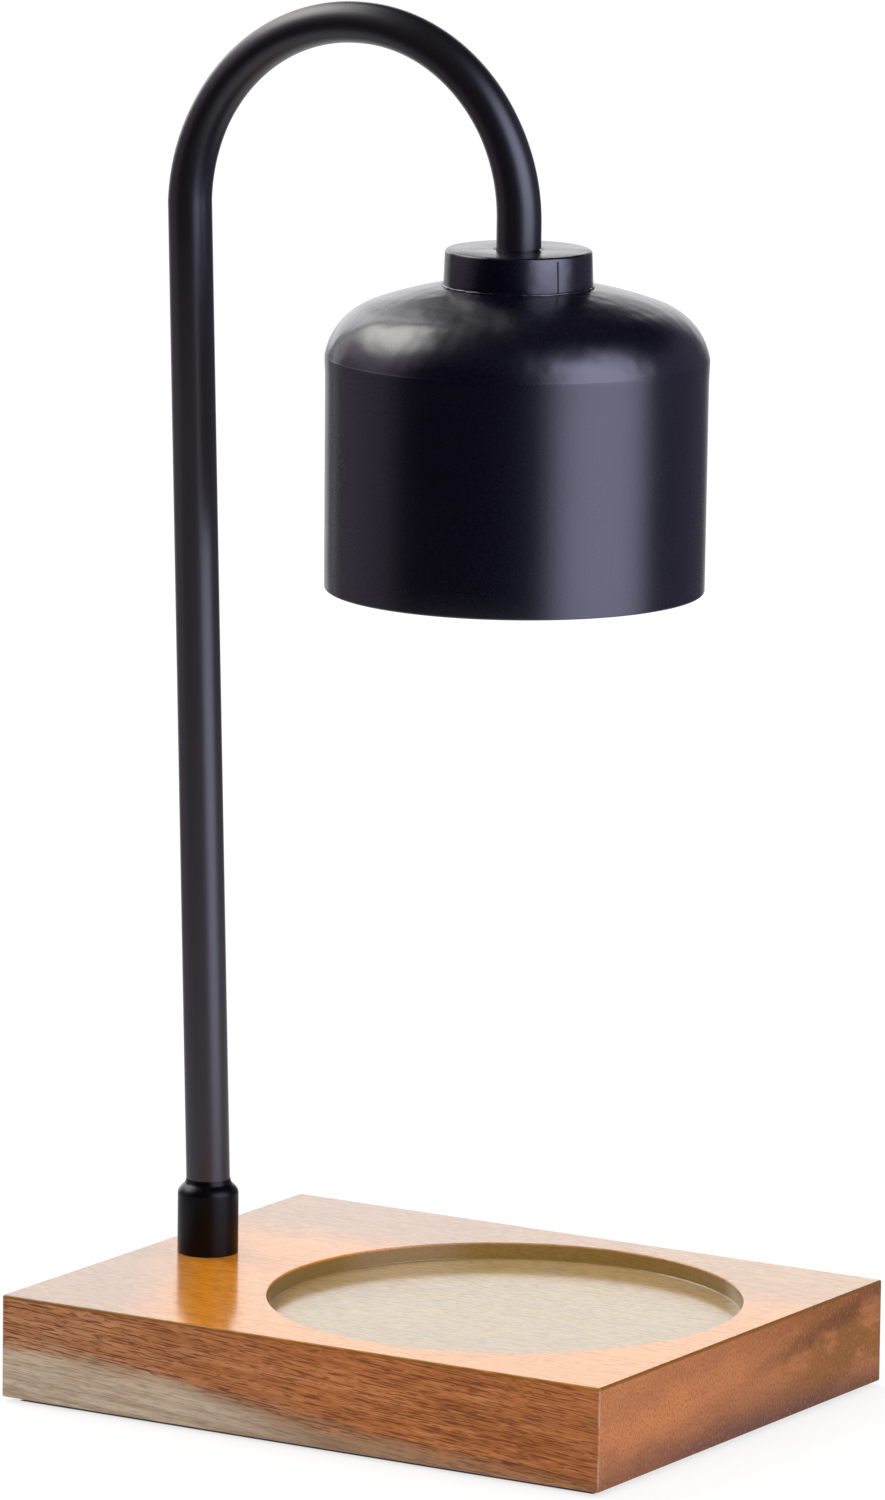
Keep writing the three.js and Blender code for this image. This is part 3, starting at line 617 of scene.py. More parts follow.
# What every face of the board is painted from: places, grain patterns and tones
def readBoard():
    spot = millimetres()
    x, y, z = partsOf(spot)
    tilted = calc("MULTIPLY_ADD", x, wood["slope"], z)
    leaned = addNode("CombineXYZ", {0: x, 1: y, 2: tilted}).outputs[0]
    board = {"spot": spot, "x": x, "y": y, "z": z, "tilted": tilted}
    board["awayX"] = calc("ABSOLUTE", x)
    board["awayY"] = calc("ABSOLUTE", y)
    board["tones"] = {name: paint(*tone) for name, tone in wood["tones"].items()}
    for place, grains in ((leaned, wood["leaning"]), (spot, wood["upright"])):
        for name, (scale, detail, roughness) in grains.items():
            board[name] = noise(vectorMath("MULTIPLY", place, scale), 1.0, detail, roughness)
    crowd = woodSpan(board["drift"], "crowdDrift")
    crowd = calc("ADD", crowd, woodSpan(x, "crowdLeft"))
    pores = []
    for name in ("longPore", "shortPore"):
        pores.append(woodSpan(calc("SUBTRACT", board[name], crowd), name))
    board["pores"] = calc("MAXIMUM", *pores)
    return board


# Heartwood of the long faces, and the sapwood under a soft dark line
def paintSides(board):
    tones = board["tones"]
    colour = layTones(board, tones["heart"], "heart")
    front, climb = wood["sapBack"]
    edge = calc("SUBTRACT", board["tilted"], wood["sapHeight"])
    edge = calc("MULTIPLY_ADD", calc("ADD", board["y"], front), climb, edge)
    edge = wobble(board, edge, "sapEdge")
    sapShare = allOf(woodSpan(edge, "sapEdge"), where(board, "sap"))
    colour = mixColour(sapShare, colour, layTones(board, tones["sapDark"], "sap"))
    seam = allOf(band(edge, *wood["seamBand"]), where(board, "seam"))
    colour = mixColour(seam, colour, tones["seam"])
    onHeart = woodSpan(sapShare, "onHeart")
    for mark, tone in (("fibre", "heartDark"), ("fleck", "heartLight")):
        colour = mixColour(allOf(where(board, mark), onHeart), colour, tones[tone])
    pores = allOf(board["pores"], where(board, "pores"), onHeart)
    colour = mixColour(pores, colour, tones["pore"])
    start, full = (wood["half"][0] - inset for inset in wood["corner"])
    corner = allOf(smoothShare(board["x"], start, full), where(board, "corner"))
    return mixColour(corner, colour, tones["endDark"])


# End grain: fine pits and upright scratches, a dark streak up to the far corner, a darker foot
def paintEnds(board):
    tones = board["tones"]
    colour = layTones(board, tones["end"], "end")
    farHalf = where(board, "farHalf")
    yellow = allOf(farHalf, where(board, "yellow"))
    colour = mixColour(yellow, colour, tones["endYellow"])
    height, climb = wood["endStreak"]
    rise = calc("MULTIPLY_ADD", board["y"], -climb, calc("SUBTRACT", board["z"], height))
    rise = wobble(board, rise, "endStreak")
    streak = band(rise, *wood["endStreakBand"])
    streak = allOf(farHalf, streak, wood["endStreakShare"])
    colour = mixColour(streak, colour, tones["endStreak"])
    colour = mixColour(where(board, "high"), colour, tones["heartDark"])
    foot = calc("MULTIPLY_ADD", board["patch"], wood["footPatch"], board["z"])
    foot = calc("ADD", foot, where(board, "footRise"))
    foot = allOf(woodSpan(foot, "footUp"), where(board, "foot"))
    colour = mixColour(foot, colour, tones["endFoot"])
    return layTones(board, colour, "endMarks")


# Top: an orange tone, painted paler and greyer along the back and the left end as a painted reflection,
# the lacquer's glare
def paintTop(board):
    tones = board["tones"]
    start, width = wood["glareLeft"]
    slanted = calc("MULTIPLY_ADD", board["y"], wood["glareSlant"], board["x"])
    left = calc("MULTIPLY_ADD", slanted, -1 / width, start / width)
    start, width = wood["glareBack"]
    back = calc("MULTIPLY_ADD", board["y"], 1 / width, -start / width)
    glare = wobble(board, calc("MAXIMUM", left, back), "glare")
    glareTone = layTones(board, tones["topPaintedGlare"], "glare")
    colour = mixColour(woodSpan(glare, "glare"), tones["top"], glareTone)
    colour = layTones(board, colour, "topMarks")
    return mixColour(allOf(board["pores"], wood["topPores"]), colour, tones["brim"])


# Share of the darker line along the top's outer edge
def brimShare(board):
    over = calc("MAXIMUM", *nearFaces(board, "brim"))
    return allOf(over, where(board, "brim"))


# Candle recess, cut below the lacquered face
def paintRecess(board, colour):
    tones = board["tones"]
    centreX, centreY, radius = slab["recess"]
    fromAxis = vectorMath("SUBTRACT", board["spot"], (centreX, centreY, 0))
    fromAxis = vectorMath("MULTIPLY", fromAxis, (1, 1, 0))
    reach = vectorMath("LENGTH", fromAxis, output="Value")
    near, far = wood["recessMouth"]
    inside = smoothShare(reach, radius + near, radius + far, 1.0, 0.0)
    inside = allOf(inside, where(board, "recess"))
    hollow = layTones(board, tones["recess"], "recess")
    # The wall and the floor's outer edge are painted darker: painted shade in the recess
    start, full = (radius - inset for inset in wood["recessWallShade"])
    hollow = mixColour(smoothShare(reach, start, full), hollow, tones["recessWallShade"])
    pores = allOf(board["pores"], wood["recessPores"])
    hollow = mixColour(pores, hollow, tones["seam"])
    return mixColour(inside, colour, hollow)


# Share of the upright corners that is rubbed pale
def rubbedShare(board):
    return allOf(where(board, "rubbed"), *nearFaces(board, "rubbed"))


def woodRelief(board, depths):
    hollows = allOf(board["pores"], -1.0)
    return bump(hollows, *depths["pores"], under=bump(board["fibre"], *depths["fibre"]))


def makeWood(name, lacquer):
    material = newMaterial(name)
    board = readBoard()
    tones = board["tones"]
    colour = paintSides(board)
    colour = mixColour(where(board, "ends"), colour, paintEnds(board))
    colour = mixColour(where(board, "top"), colour, paintTop(board))
    colour = mixColour(brimShare(board), colour, tones["brim"])
    colour = paintRecess(board, colour)
    colour = mixColour(rubbedShare(board), colour, tones["worn"])
    spread = wood["fibreRoughness"]
    surface({
        "Base Color": colour,
        "Roughness": calc("MULTIPLY_ADD", board["fibre"], spread, wood["roughness"]),
        "Normal": woodRelief(board, wood["relief"]),
        "Specular IOR Level": wood["gloss"],
        "Coat Weight": lacquer,
        "Coat Roughness": wood["varnish"],
        "Coat IOR": wood["bending"],
        "Coat Normal": woodRelief(board, wood["glaze"]),
    })
    return material


# Moulded, plated and glazed finishes: a fine speckle over soft clouds of a second tone
speckle = {
    "grain": (4.0, 0.6),
    "cloud": (3.0,),
    "coarser": 14,
    "clouds": (0.3, 0.7),
    "grains": (0.35, 0.75, 0.0, 0.35),
    "spread": 0.16,
}

clearGlass = {
    "tone": (0.97, 0.985, 0.985, 1),
    "roughness": 0.02,
    "ripple": (0.35, 2.0),
    "rippleDepth": 0.03,
    "rippleShare": 0.5,
    "film": (2.5, 3.0),
    "filmSpread": 0.08,
    "bending": 1.47,
}


def makeSpeckled(name, colour, second, scale, roughness, depth, metal=0.0, gloss=0.5):
    material = newMaterial(name)
    spot = millimetres()
    grain = noise(spot, scale, *speckle["grain"])
    cloud = noise(spot, scale / speckle["coarser"], *speckle["cloud"])
    tone = mixColour(smoothShare(cloud, *speckle["clouds"]), paint(*colour), paint(*second))
    tone = mixColour(smoothShare(grain, *speckle["grains"]), tone, paint(*second))
    spread = speckle["spread"]
    surface({
        "Base Color": tone,
        "Metallic": metal,
        "Roughness": calc("MULTIPLY_ADD", grain, spread, roughness - spread / 2),
        "Normal": bump(grain, depth),
        "Specular IOR Level": gloss,
    })
    return material


def makeGlass(name):
    material = newMaterial(name)
    spot = millimetres()
    ripple = noise(spot, *clearGlass["ripple"])
    film = noise(spot, *clearGlass["film"])
    surface({
        "Base Color": clearGlass["tone"],
        "Transmission Weight": 1.0,
        "Roughness": calc("MULTIPLY_ADD", film, clearGlass["filmSpread"], clearGlass["roughness"]),
        "IOR": clearGlass["bending"],
        "Normal": bump(ripple, clearGlass["rippleDepth"], clearGlass["rippleShare"]),
    })
    return material


# The speckled ones give tone, second tone, scale, roughness and relief
print("stage: finishes")
finishes = {
    "wood": makeWood("lacqueredAcacia", wood["lacquer"]),
    "woodSides": makeWood("acaciaSides", wood["sideLacquer"]),
    "satin": makeCoat("satinBlack", satinCoat),
    "tubeCoat": makeCoat("tubeBlack", tubeCoat),
    "collarCoat": makeCoat("collarBlack", collarCoat),
    "plastic": makeSpeckled("blackPlastic", (30, 30, 31), (22, 22, 23), 3.0, 0.55, 0.03),
    "rubber": makeSpeckled("blackRubber", (27, 26, 26), (38, 37, 36), 2.2, 0.82, 0.02, gloss=0.3),
    "zinc": makeSpeckled("zincPlate", (178, 180, 182), (148, 149, 148), 1.4, 0.36, 0.006, metal=1.0),
    "ceramic": makeSpeckled("whiteCeramic", (232, 226, 213), (220, 213, 198), 1.6, 0.38, 0.01),
    "brass": makeSpeckled("brassPlate", (196, 164, 92), (160, 128, 66), 1.8, 0.34, 0.006, metal=1.0),
    "sleeve": makeSpeckled("glassSleeve", (226, 221, 210), (206, 200, 188), 4.0, 0.7, 0.05),
    "mirror": makeSpeckled("mirrorCoat", (206, 211, 219), (190, 196, 206), 0.8, 0.13, 0.002, metal=1.0),
    "glass": makeGlass("clearGlass"),
}


# How close points are when they are the same or on a level or circle, and how upright an edge is
closeness = {
    "weld": 0.0004,
    "cadWeld": 0.001,
    "level": 0.002,
    "circle": 0.05,
    "upright": 0.99,
}

# Steps in a rounding
steps = {
    "corner": 6,
    "edge": 4,
    "rim": 3,
    "turned": 4,
}


# Mesh helpers
def solidFrom(bm, name):
    bmesh.ops.recalc_face_normals(bm, faces=bm.faces[:])
    return objectFrom(bm, name)


def weld(bm, distance):
    bmesh.ops.remove_doubles(bm, verts=bm.verts[:], dist=closeness[distance] * mm)


def finishMesh(bm, name, finish, sharp=32):
    weld(bm, "weld")
    piece = solidFrom(bm, name)
    piece.data.shade_smooth()
    piece.data.set_sharp_from_angle(angle=math.radians(sharp))
    piece.data.materials.append(finishes[finish])
    return piece


def keepFlatsFlat(piece):
    evened = piece.modifiers.new("flatsStayFlat", "WEIGHTED_NORMAL")
    evened.mode = "FACE_AREA"
    evened.keep_sharp = True


def enlist(piece, body, slotName, *nodes):
    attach(piece, body)
    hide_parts(*nodes)


def arc(centreR, centreZ, radius, start, end, count):
    spots = []
    for step in range(count + 1):
        angle = math.radians(start + (end - start) * step / count)
        spots.append((centreR + radius * math.cos(angle), centreZ + radius * math.sin(angle)))
    return spots


def shift(bm, *place):
    bmesh.ops.translate(bm, verts=bm.verts[:], vec=Vector(place) * mm)


def swing(bm, angle, axis):
    bmesh.ops.rotate(bm, verts=bm.verts[:], cent=(0, 0, 0), matrix=turned(angle, axis))


def bevelled(bm, geometry, offset, segments, affect, **choices):
    bmesh.ops.bevel(
        bm,
        geom=geometry,
        offset=offset * mm,
        offset_type="OFFSET",
        segments=segments,
        profile=0.5,
        affect=affect,
        material=-1,
        **choices,
    )


def spun(bm, geometry, axis, angle, count, centre=(0, 0, 0), climb=(0, 0, 0), **choices):
    return bmesh.ops.spin(
        bm,
        geom=geometry,
        cent=Vector(centre) * mm,
        axis=axis,
        dvec=Vector(climb) * mm,
        angle=math.radians(angle),
        steps=count,
        **choices,
    )["geom_last"]


# A profile lists (radius, height) or (radius, height, rounding) in the order round the section
def turn(profile, sides, place=(0, 0, 0), closed=True):
    bm = bmesh.new()
    corners = [bm.verts.new((spot[0] * mm, 0, spot[1] * mm)) for spot in profile]
    following = corners[1:] + corners[:1] if closed else corners[1:]
    for first, second in zip(corners, following):
        bm.edges.new((first, second))
    roundings = sorted({spot[2] for spot in profile if len(spot) > 2})
    for rounding in roundings:
        chosen = [corner for corner, spot in zip(corners, profile) if rounding in spot[2:]]
        bevelled(bm, chosen, rounding, steps["turned"], "VERTICES")
    spun(bm, bm.verts[:] + bm.edges[:], upAxis, 360, sides, use_merge=True)
    shift(bm, *place)
    return bm


def discCutter(name, radius, low, high, x, y, sides):
    bm = bmesh.new()
    place = moved(x, y, (low + high) / 2)
    bmesh.ops.create_cone(
        bm,
        cap_ends=True,
        segments=sides,
        radius1=radius * mm,
        radius2=radius * mm,
        depth=(high - low) * mm,
        matrix=place,
    )
    return solidFrom(bm, name)


def startBlock(length, width, low, high, x=0):
    bm = bmesh.new()
    bmesh.ops.create_cube(bm, size=1)
    bmesh.ops.scale(bm, verts=bm.verts[:], vec=Vector((length, width, high - low)) * mm)
    shift(bm, x, 0, (low + high) / 2)
    return bm


def blockCutter(name, length, width, corner, low, high, x):
    bm = startBlock(length, width, low, high, x)
    roundEdges(bm, uprightEdges(bm), corner, steps["corner"])
    return solidFrom(bm, name)


def uprightEdges(bm):
    least = closeness["upright"]
    return [e for e in bm.edges if abs((e.verts[0].co - e.verts[1].co).normalized().z) > least]


def edgesAt(bm, height):
    near = closeness["level"] * mm
    return [e for e in bm.edges if all(abs(v.co.z - height * mm) < near for v in e.verts)]


def ringAt(bm, height, centre, radius):
    near = closeness["circle"] * mm
    axis = Vector(centre[:2]) * mm
    ring = edgesAt(bm, height)
    return [e for e in ring if all(abs((v.co.xy - axis).length - radius * mm) < near for v in e.verts)]


def roundEdges(bm, edges, radius, segments):
    bevelled(bm, edges, radius, segments, "EDGES", clamp_overlap=True)


def carve(piece, cutters):
    for cutter in cutters:
        cut = piece.modifiers.new(cutter.name, "BOOLEAN")
        cut.operation = "DIFFERENCE"
        cut.solver = "EXACT"
        cut.object = cutter
    ready = piece.evaluated_get(bpy.context.evaluated_depsgraph_get())
    carved = bpy.data.meshes.new_from_object(ready)
    bm = bmesh.new()
    bm.from_mesh(carved)
    bpy.data.meshes.remove(carved)
    for shape in [piece, *cutters]:
        bpy.data.objects.remove(shape)
    return bm


def slabBlank():
    bm = startBlock(*slab["size"], slab["bottom"], slab["top"])
    roundEdges(bm, uprightEdges(bm), slab["cornerRadius"], steps["corner"])
    rims = edgesAt(bm, slab["top"]) + edgesAt(bm, slab["bottom"])
    roundEdges(bm, rims, slab["edgeRadius"], steps["edge"])
    return solidFrom(bm, "slabBlank")


def slabCutters():
    over, under = slab["top"] + slab["overrun"], slab["bottom"] - slab["overrun"]
    sides = slab["holeSides"]
    x, y, radius = slab["recess"]
    cutters = [discCutter("recessCut", radius, slab["recessFloor"], over, x, y, slab["recessSides"])]
    for name in ("pocket", "rebate"):
        x, long, wide, corner, top = slab[name]
        cutters.append(blockCutter(f"{name}Cut", long, wide, corner, under, top, x))
    pocketX, *_, pocketTop = slab["pocket"]
    x, y, radius = slab["tubeHole"]
    cutters.append(discCutter("tubeCut", radius, pocketTop - slab["overrun"], over, x, y, sides))
    back = slab["size"][1] / 2
    x, height, radius, seat, depth = slab["channel"]
    towardBack = moved(x, 0, height) @ turned(-90, "X", 4)
    bores = (("channelCut", radius, slab["channelFrom"]), ("seatCut", seat, back - depth))
    for name, size, start in bores:
        cutter = discCutter(name, size, start, back + slab["overrun"], 0, 0, sides)
        cutter.data.transform(towardBack)
        cutters.append(cutter)
    inX, inY, radius, top = slab["pilots"]
    for sideX in (1, -1):
        for sideY in (1, -1):
            place = pocketX + sideX * inX, sideY * inY
            name = f"pilotCut{sideX}{sideY}"
            cutters.append(discCutter(name, radius, slab["pilotFrom"], top, *place, slab["pilotSides"]))
    return cutters


def makeSlab():
    bm = carve(slabBlank(), slabCutters())
    *centre, radius = slab["recess"]
    rings = [ringAt(bm, slab[level], centre, radius) for level in ("top", "recessFloor")]
    for ring in rings:
        roundEdges(bm, ring, slab["recessRound"], steps["rim"])
    piece = finishMesh(bm, "base_slab", "wood", sharp=40)
    piece.data.materials.append(finishes["woodSides"])
    limitX, limitY = ((size / 2 - slab["outerFaces"]) * mm for size in slab["size"])
    for face in piece.data.polygons:
        face.material_index = int(abs(face.center.x) > limitX or abs(face.center.y) > limitY)
    keepFlatsFlat(piece)
    enlist(piece, "stand", "wood", "base_block")


print("stage: wooden base")
makeSlab()


# Collar with the paint run up into a small fillet round the tube
collar = {
    "place": (-66.709, 0, 0),
    "profile": [
        (5.0, 25.8), (7.32, 25.8, 0.25), (7.3, 41.05, 0.7), (6.3, 42.25, 0.5), (5.6, 42.75, 0.4),
        (5.29, 43.9), (5.25, 43.9), (5.25, 42.3), (5.3, 42.1), (5.3, 27.8), (5.0, 27.8),
    ],
    "sides": 96,
}


def makeCollar():
    bm = turn(collar["profile"], collar["sides"], collar["place"])
    enlist(finishMesh(bm, "stand_collar", "collarCoat"), "stand", "black_coat", "collar")


print("stage: collar")
makeCollar()


# Stand tube, run as rings along its bends
stand = {
    "legX": -66.709,
    "footEnd": 9.9,
    "footShoulder": 27.8,
    "leanFrom": 42.2,
    "lean": 1.8,
    "legBend": (-27.309, 278.06, 46.79),
    "headBend": (-26.509, 281.55, 43.3),
    "headShoulder": 275.1,
    "headEnd": 259.6,
    "radius": 5.24,
    "threadRadius": 4.85,
    "boreRadius": 4.05,
    "sides": 56,
    "bendSteps": 44,
    "flatten": 0.075,
    "flattenOver": 30,
}


def edgesOf(geometry):
    return [item for item in geometry if isinstance(item, bmesh.types.BMEdge)]


def ringVerts(ring):
    return list({vert for edge in ring for vert in edge.verts})


def pushRing(bm, ring, push):
    made = edgesOf(bmesh.ops.extrude_edge_only(bm, edges=ring)["geom"])
    bmesh.ops.translate(bm, verts=ringVerts(made), vec=Vector(push) * mm)
    return made


def swellRing(bm, ring, factor, centre):
    made = pushRing(bm, ring, (0, 0, 0))
    space = moved(*centre).inverted()
    bmesh.ops.scale(bm, verts=ringVerts(made), vec=(factor, factor, 1), space=space)
    return made


def bendRing(bm, ring, centreX, centreZ, angle):
    geometry = ringVerts(ring) + ring
    return edgesOf(spun(bm, geometry, sideAxis, angle, stand["bendSteps"], (centreX, 0, centreZ)))


def runTube(bm, radius, endRadius):
    x = stand["legX"]
    bend = stand["legBend"]
    head = stand["headBend"]
    lean = math.radians(stand["lean"])
    place = moved(x, 0, stand["footEnd"])
    bmesh.ops.create_circle(bm, radius=endRadius * mm, segments=stand["sides"], matrix=place)
    start = [e for e in ringAt(bm, stand["footEnd"], (x, 0), endRadius) if not e.link_faces]
    ring = pushRing(bm, start, (0, 0, stand["footShoulder"] - stand["footEnd"]))
    ring = swellRing(bm, ring, radius / endRadius, (x, 0, stand["footShoulder"]))
    ring = pushRing(bm, ring, (0, 0, stand["leanFrom"] - stand["footShoulder"]))
    topX = bend[0] - bend[2] * math.cos(lean)
    topZ = bend[1] + bend[2] * math.sin(lean)
    ring = pushRing(bm, ring, (topX - x, 0, topZ - stand["leanFrom"]))
    tip = turned(-stand["lean"], sideAxis)
    bmesh.ops.rotate(bm, verts=ringVerts(ring), cent=Vector((topX, 0, topZ)) * mm, matrix=tip)
    ring = bendRing(bm, ring, bend[0], bend[1], 90 - stand["lean"])
    ring = pushRing(bm, ring, (head[0] - bend[0], 0, 0))
    ring = bendRing(bm, ring, head[0], head[1], 90)
    ring = pushRing(bm, ring, (0, 0, stand["headShoulder"] - head[1]))
    ring = swellRing(bm, ring, endRadius / radius, (head[0] + head[2], 0, stand["headShoulder"]))
    last = pushRing(bm, ring, (0, 0, stand["headEnd"] - stand["headShoulder"]))
    return start, last


# A bent tube draws in across its bends
def flattenBends(bm):
    between = (stand["legBend"][0] + stand["headBend"][0]) / 2
    for vert in bm.verts:
        spot = vert.co / mm
        onLeg = spot.x < between
        centreX, centreZ, radius = stand["legBend" if onLeg else "headBend"]
        arm = Vector((spot.x - centreX, 0, spot.z - centreZ))
        if arm.z > 0:
            angle = math.degrees(math.atan2(arm.z, abs(arm.x)))
            share = stand["flatten"] * min(1, angle / stand["flattenOver"])
            vert.co -= arm.normalized() * (arm.length - radius) * share * mm


def makeStand():
    bm = bmesh.new()
    outer = runTube(bm, stand["radius"], stand["threadRadius"])
    inner = runTube(bm, stand["boreRadius"], stand["boreRadius"])
    for outerRing, innerRing in zip(outer, inner):
        bmesh.ops.bridge_loops(bm, edges=outerRing + innerRing)
    flattenBends(bm)
    enlist(finishMesh(bm, "stand_tube", "tubeCoat", sharp=40), "stand", "black_coat", "arch_tube")


print("stage: stand tube")
makeStand()


# Spun shade: straight side, a faint crease where the shoulder starts, and a shallow crown
shade = {
    "place": (16.791, 0, 0),
    "rimBottom": 195.2,
    "rimRadius": 44.4,
    "wall": 1.0,
    "lipSteps": 8,
    "side": [
        (44.44, 202.0), (44.52, 220.0), (44.62, 242.0),
        (44.66, 245.0), (44.74, 247.0), (44.80, 248.6),
    ],
    "crease": [(44.82, 249.9), (44.80, 250.1)],
    "shoulder": (29.46, 247.354, 15.55),
    "shoulderSteps": 20,
    "creaseAngle": 10.5,
    "creaseTurn": 1,
    "crown": (0, 166.024, 102.05),
    "crownAngle": 19.91,
    "crownSteps": 12,
    "landingRadius": 17.857,
    "landingTop": 266.5,
    "holeRadius": 5.0,
    "sides": 160,
}


def shadeLine(offset):
    shoulderR, shoulderZ, shoulder = shade["shoulder"]
    crownZ, crown = shade["crown"][1:]
    crownEdge = math.degrees(math.acos(shade["landingRadius"] / crown))
    start = shade["creaseAngle"]
    line = [(radius - offset, height) for radius, height in shade["side"] + shade["crease"]]
    after = start + shade["creaseTurn"]
    over = 90 - shade["crownAngle"]
    line += arc(shoulderR, shoulderZ, shoulder - offset, start, after, 1)
    line += arc(shoulderR, shoulderZ, shoulder - offset, after, over, shade["shoulderSteps"])[1:]
    line += arc(0, crownZ, crown - offset, over, crownEdge, shade["crownSteps"])[1:-1]
    line.append((shade["landingRadius"], shade["landingTop"] - offset))
    line.append((shade["holeRadius"], shade["landingTop"] - offset))
    return line


def makeShade():
    lip = shade["wall"] / 2
    rim = arc(shade["rimRadius"] - lip, shade["rimBottom"] + lip, lip, -180, 0, shade["lipSteps"])
    bm = turn(rim + shadeLine(0) + shadeLine(shade["wall"])[::-1], shade["sides"], shade["place"])
    enlist(finishMesh(bm, "shade_shell", "satin", sharp=30), "stand", "black_coat", "shade")


print("stage: shade")
makeShade()


# Neck cap, rolled and capped: its joint shows down the side, and the paint has run along its foot
cap = {
    "place": (16.791, 0, 0),
    "bottom": 266.5,
    "top": 275.1,
    "profile": [
        (16.25, 266.5), (17.45, 266.5, 0.15), (17.1, 275.1, 0.7), (5.9, 275.1, 0.3),
        (5.0, 274.7), (5.0, 273.9), (15.9, 273.9, 0.6),
    ],
    "sides": 144,
    "overrun": 1,
    "seam": (-27.0, 0.34, 16.8, 274.2),
    "nicks": [(-149.0, 5.6, 0.55), (-70.0, 5.5, 0.45), (28.0, 5.6, 0.4)],
    "nickDepth": 0.7,
    "nickSides": 9,
    "bead": (17.5, 266.62, 0.34),
    "beadArc": (0, 330, 11),
    "beadSides": 220,
    "beadWander": (0.16, 0.128),
    "beadWaves": ((0.55, 1.0), (1.9, 0.6)),
}


def seamCutter():
    angle, width, depthRadius, top = cap["seam"]
    over = cap["overrun"]
    bm = startBlock(2 * over, width, cap["bottom"] - over, top, depthRadius + over)
    swing(bm, angle, "Z")
    shift(bm, *cap["place"])
    return solidFrom(bm, "seamCut")


def makeCap():
    blank = solidFrom(turn(cap["profile"], cap["sides"], cap["place"]), "capBlank")
    low, high = cap["top"] - cap["nickDepth"], cap["top"] + cap["overrun"]
    cutters = [seamCutter()]
    for index, (angle, reach, radius) in enumerate(cap["nicks"]):
        spot = Vector(cap["place"]) + turned(angle, "Z") @ Vector((reach, 0, 0))
        nick = discCutter(f"nickCut{index}", radius, low, high, spot.x, spot.y, cap["nickSides"])
        cutters.append(nick)
    bm = carve(blank, cutters)
    enlist(finishMesh(bm, "shade_cap", "satin", sharp=34), "stand", "black_coat", "neck_cap")


def makeBead():
    bm = turn(arc(*cap["bead"], *cap["beadArc"]), cap["beadSides"], cap["place"])
    axis = Vector(cap["place"]) * mm
    outwards, upwards = cap["beadWander"]
    for vert in bm.verts:
        outward = (vert.co - axis) * Vector((1, 1, 0))
        waves = [noiseField.noise(vert.co / mm * size) * share for size, share in cap["beadWaves"]]
        vert.co += (outward.normalized() * outwards + upAxis * upwards) * sum(waves) * mm
    bead = finishMesh(bm, "cap_foot_bead", "satin", sharp=80)
    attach(bead, "stand")


print("stage: neck cap")
makeCap()
makeBead()


# Rubber feet and the cord grommet
foot = {
    "insetX": 70.991,
    "insetY": 54.75,
    "profile": [(0, 0), (5.2, 0, 0.2), (6.0, 0.5, 0.2), (6.0, 1.2, 0.1), (0, 1.2)],
    "sides": 64,
}

grommet = {
    "place": (-60.1, 0, 9.9),
    "outside": 65.75,
    "profile": [
        (2.8, -13.5, 0.2), (4.2, -13.5, 0.3), (4.2, -1.5), (6.0, -1.5, 0.15),
        (6.0, 0, 0.5), (3.6, 0, 0.4), (2.8, -0.8, 0.4),
    ],
    "sides": 64,
}


def makeFeet():
    for index, (sideX, sideY) in enumerate(((1, 1), (-1, 1), (-1, -1), (1, -1)), 1):
        place = (sideX * foot["insetX"], sideY * foot["insetY"], 0)
        bm = turn(foot["profile"], foot["sides"], place, closed=False)
        enlist(finishMesh(bm, f"rubber_foot_{index}", "rubber"), "stand", "rubber", f"foot_{index}")


def makeGrommet():
    bm = turn(grommet["profile"], grommet["sides"])
    swing(bm, -90, "X")
    shift(bm, *(Vector(grommet["place"]) + sideAxis * grommet["outside"]))
    enlist(finishMesh(bm, "rubber_grommet", "rubber"), "stand", "rubber", "cord_grommet")


print("stage: feet and grommet")
makeFeet()
makeGrommet()


# Reflector bulb: pressed bowl with a facetted mirror, domed lens, capsule and its filament
bulb = {
    "place": (16.791, 0, 0),
    "face": 197.8,
    "flangeTop": 200.2,
    "neck": 225.8,
    "outer": 25.0,
    "bowl": (24.0, 11.8),
    "mirror": (22.5, 10.3),
    "lensSeat": 23.6,
    "facets": 44,
    "rows": 13,
    "glassSides": 96,
    "lens": [
        (0, 198.3), (8, 198.36), (16, 198.55), (23.45, 198.8, 0.25),
        (23.45, 200.2, 0.25), (16, 199.95), (8, 199.76), (0, 199.7),
    ],
    "capsule": [
        (0, 211.8), (0.8, 211.95), (1.2, 212.5), (2.6, 213.2), (3.9, 214.6),
        (4.5, 216.8), (4.5, 222.4), (3.5, 225.8), (3.5, 230.8), (0, 230.8),
    ],
    "filament": (1.1, 0.22, 216.5, 0.75, 6),
    "wireSides": 8,
    "coilSteps": 18,
}


def bowlLine(radii):
    front, back = radii
    line = []
    for step in range(bulb["rows"] + 1):
        share = step / bulb["rows"]
        height = bulb["flangeTop"] + (bulb["neck"] - bulb["flangeTop"]) * share
        line.append((math.sqrt(front ** 2 + (back ** 2 - front ** 2) * share), height))
    return line


def makeReflector():
    profile = [(bulb["lensSeat"], bulb["face"], 0.15), (bulb["outer"], bulb["face"], 0.5)]
    profile.append((bulb["outer"], bulb["flangeTop"], 0.4))
    profile += bowlLine(bulb["bowl"]) + bowlLine(bulb["mirror"])[::-1]
    profile.append((bulb["lensSeat"], bulb["flangeTop"]))
    bm = turn(profile, bulb["facets"], bulb["place"])
    piece = finishMesh(bm, "bulb_bowl", "mirror", sharp=30)
    axis = Vector(bulb["place"]) * mm
    for face in piece.data.polygons:
        reach = face.center - axis
        inward = face.normal.x * reach.x + face.normal.y * reach.y < 0
        face.use_smooth = not (inward and bulb["flangeTop"] * mm < face.center.z)
    enlist(piece, "bulb", "mirror_glass", "bulb_reflector")


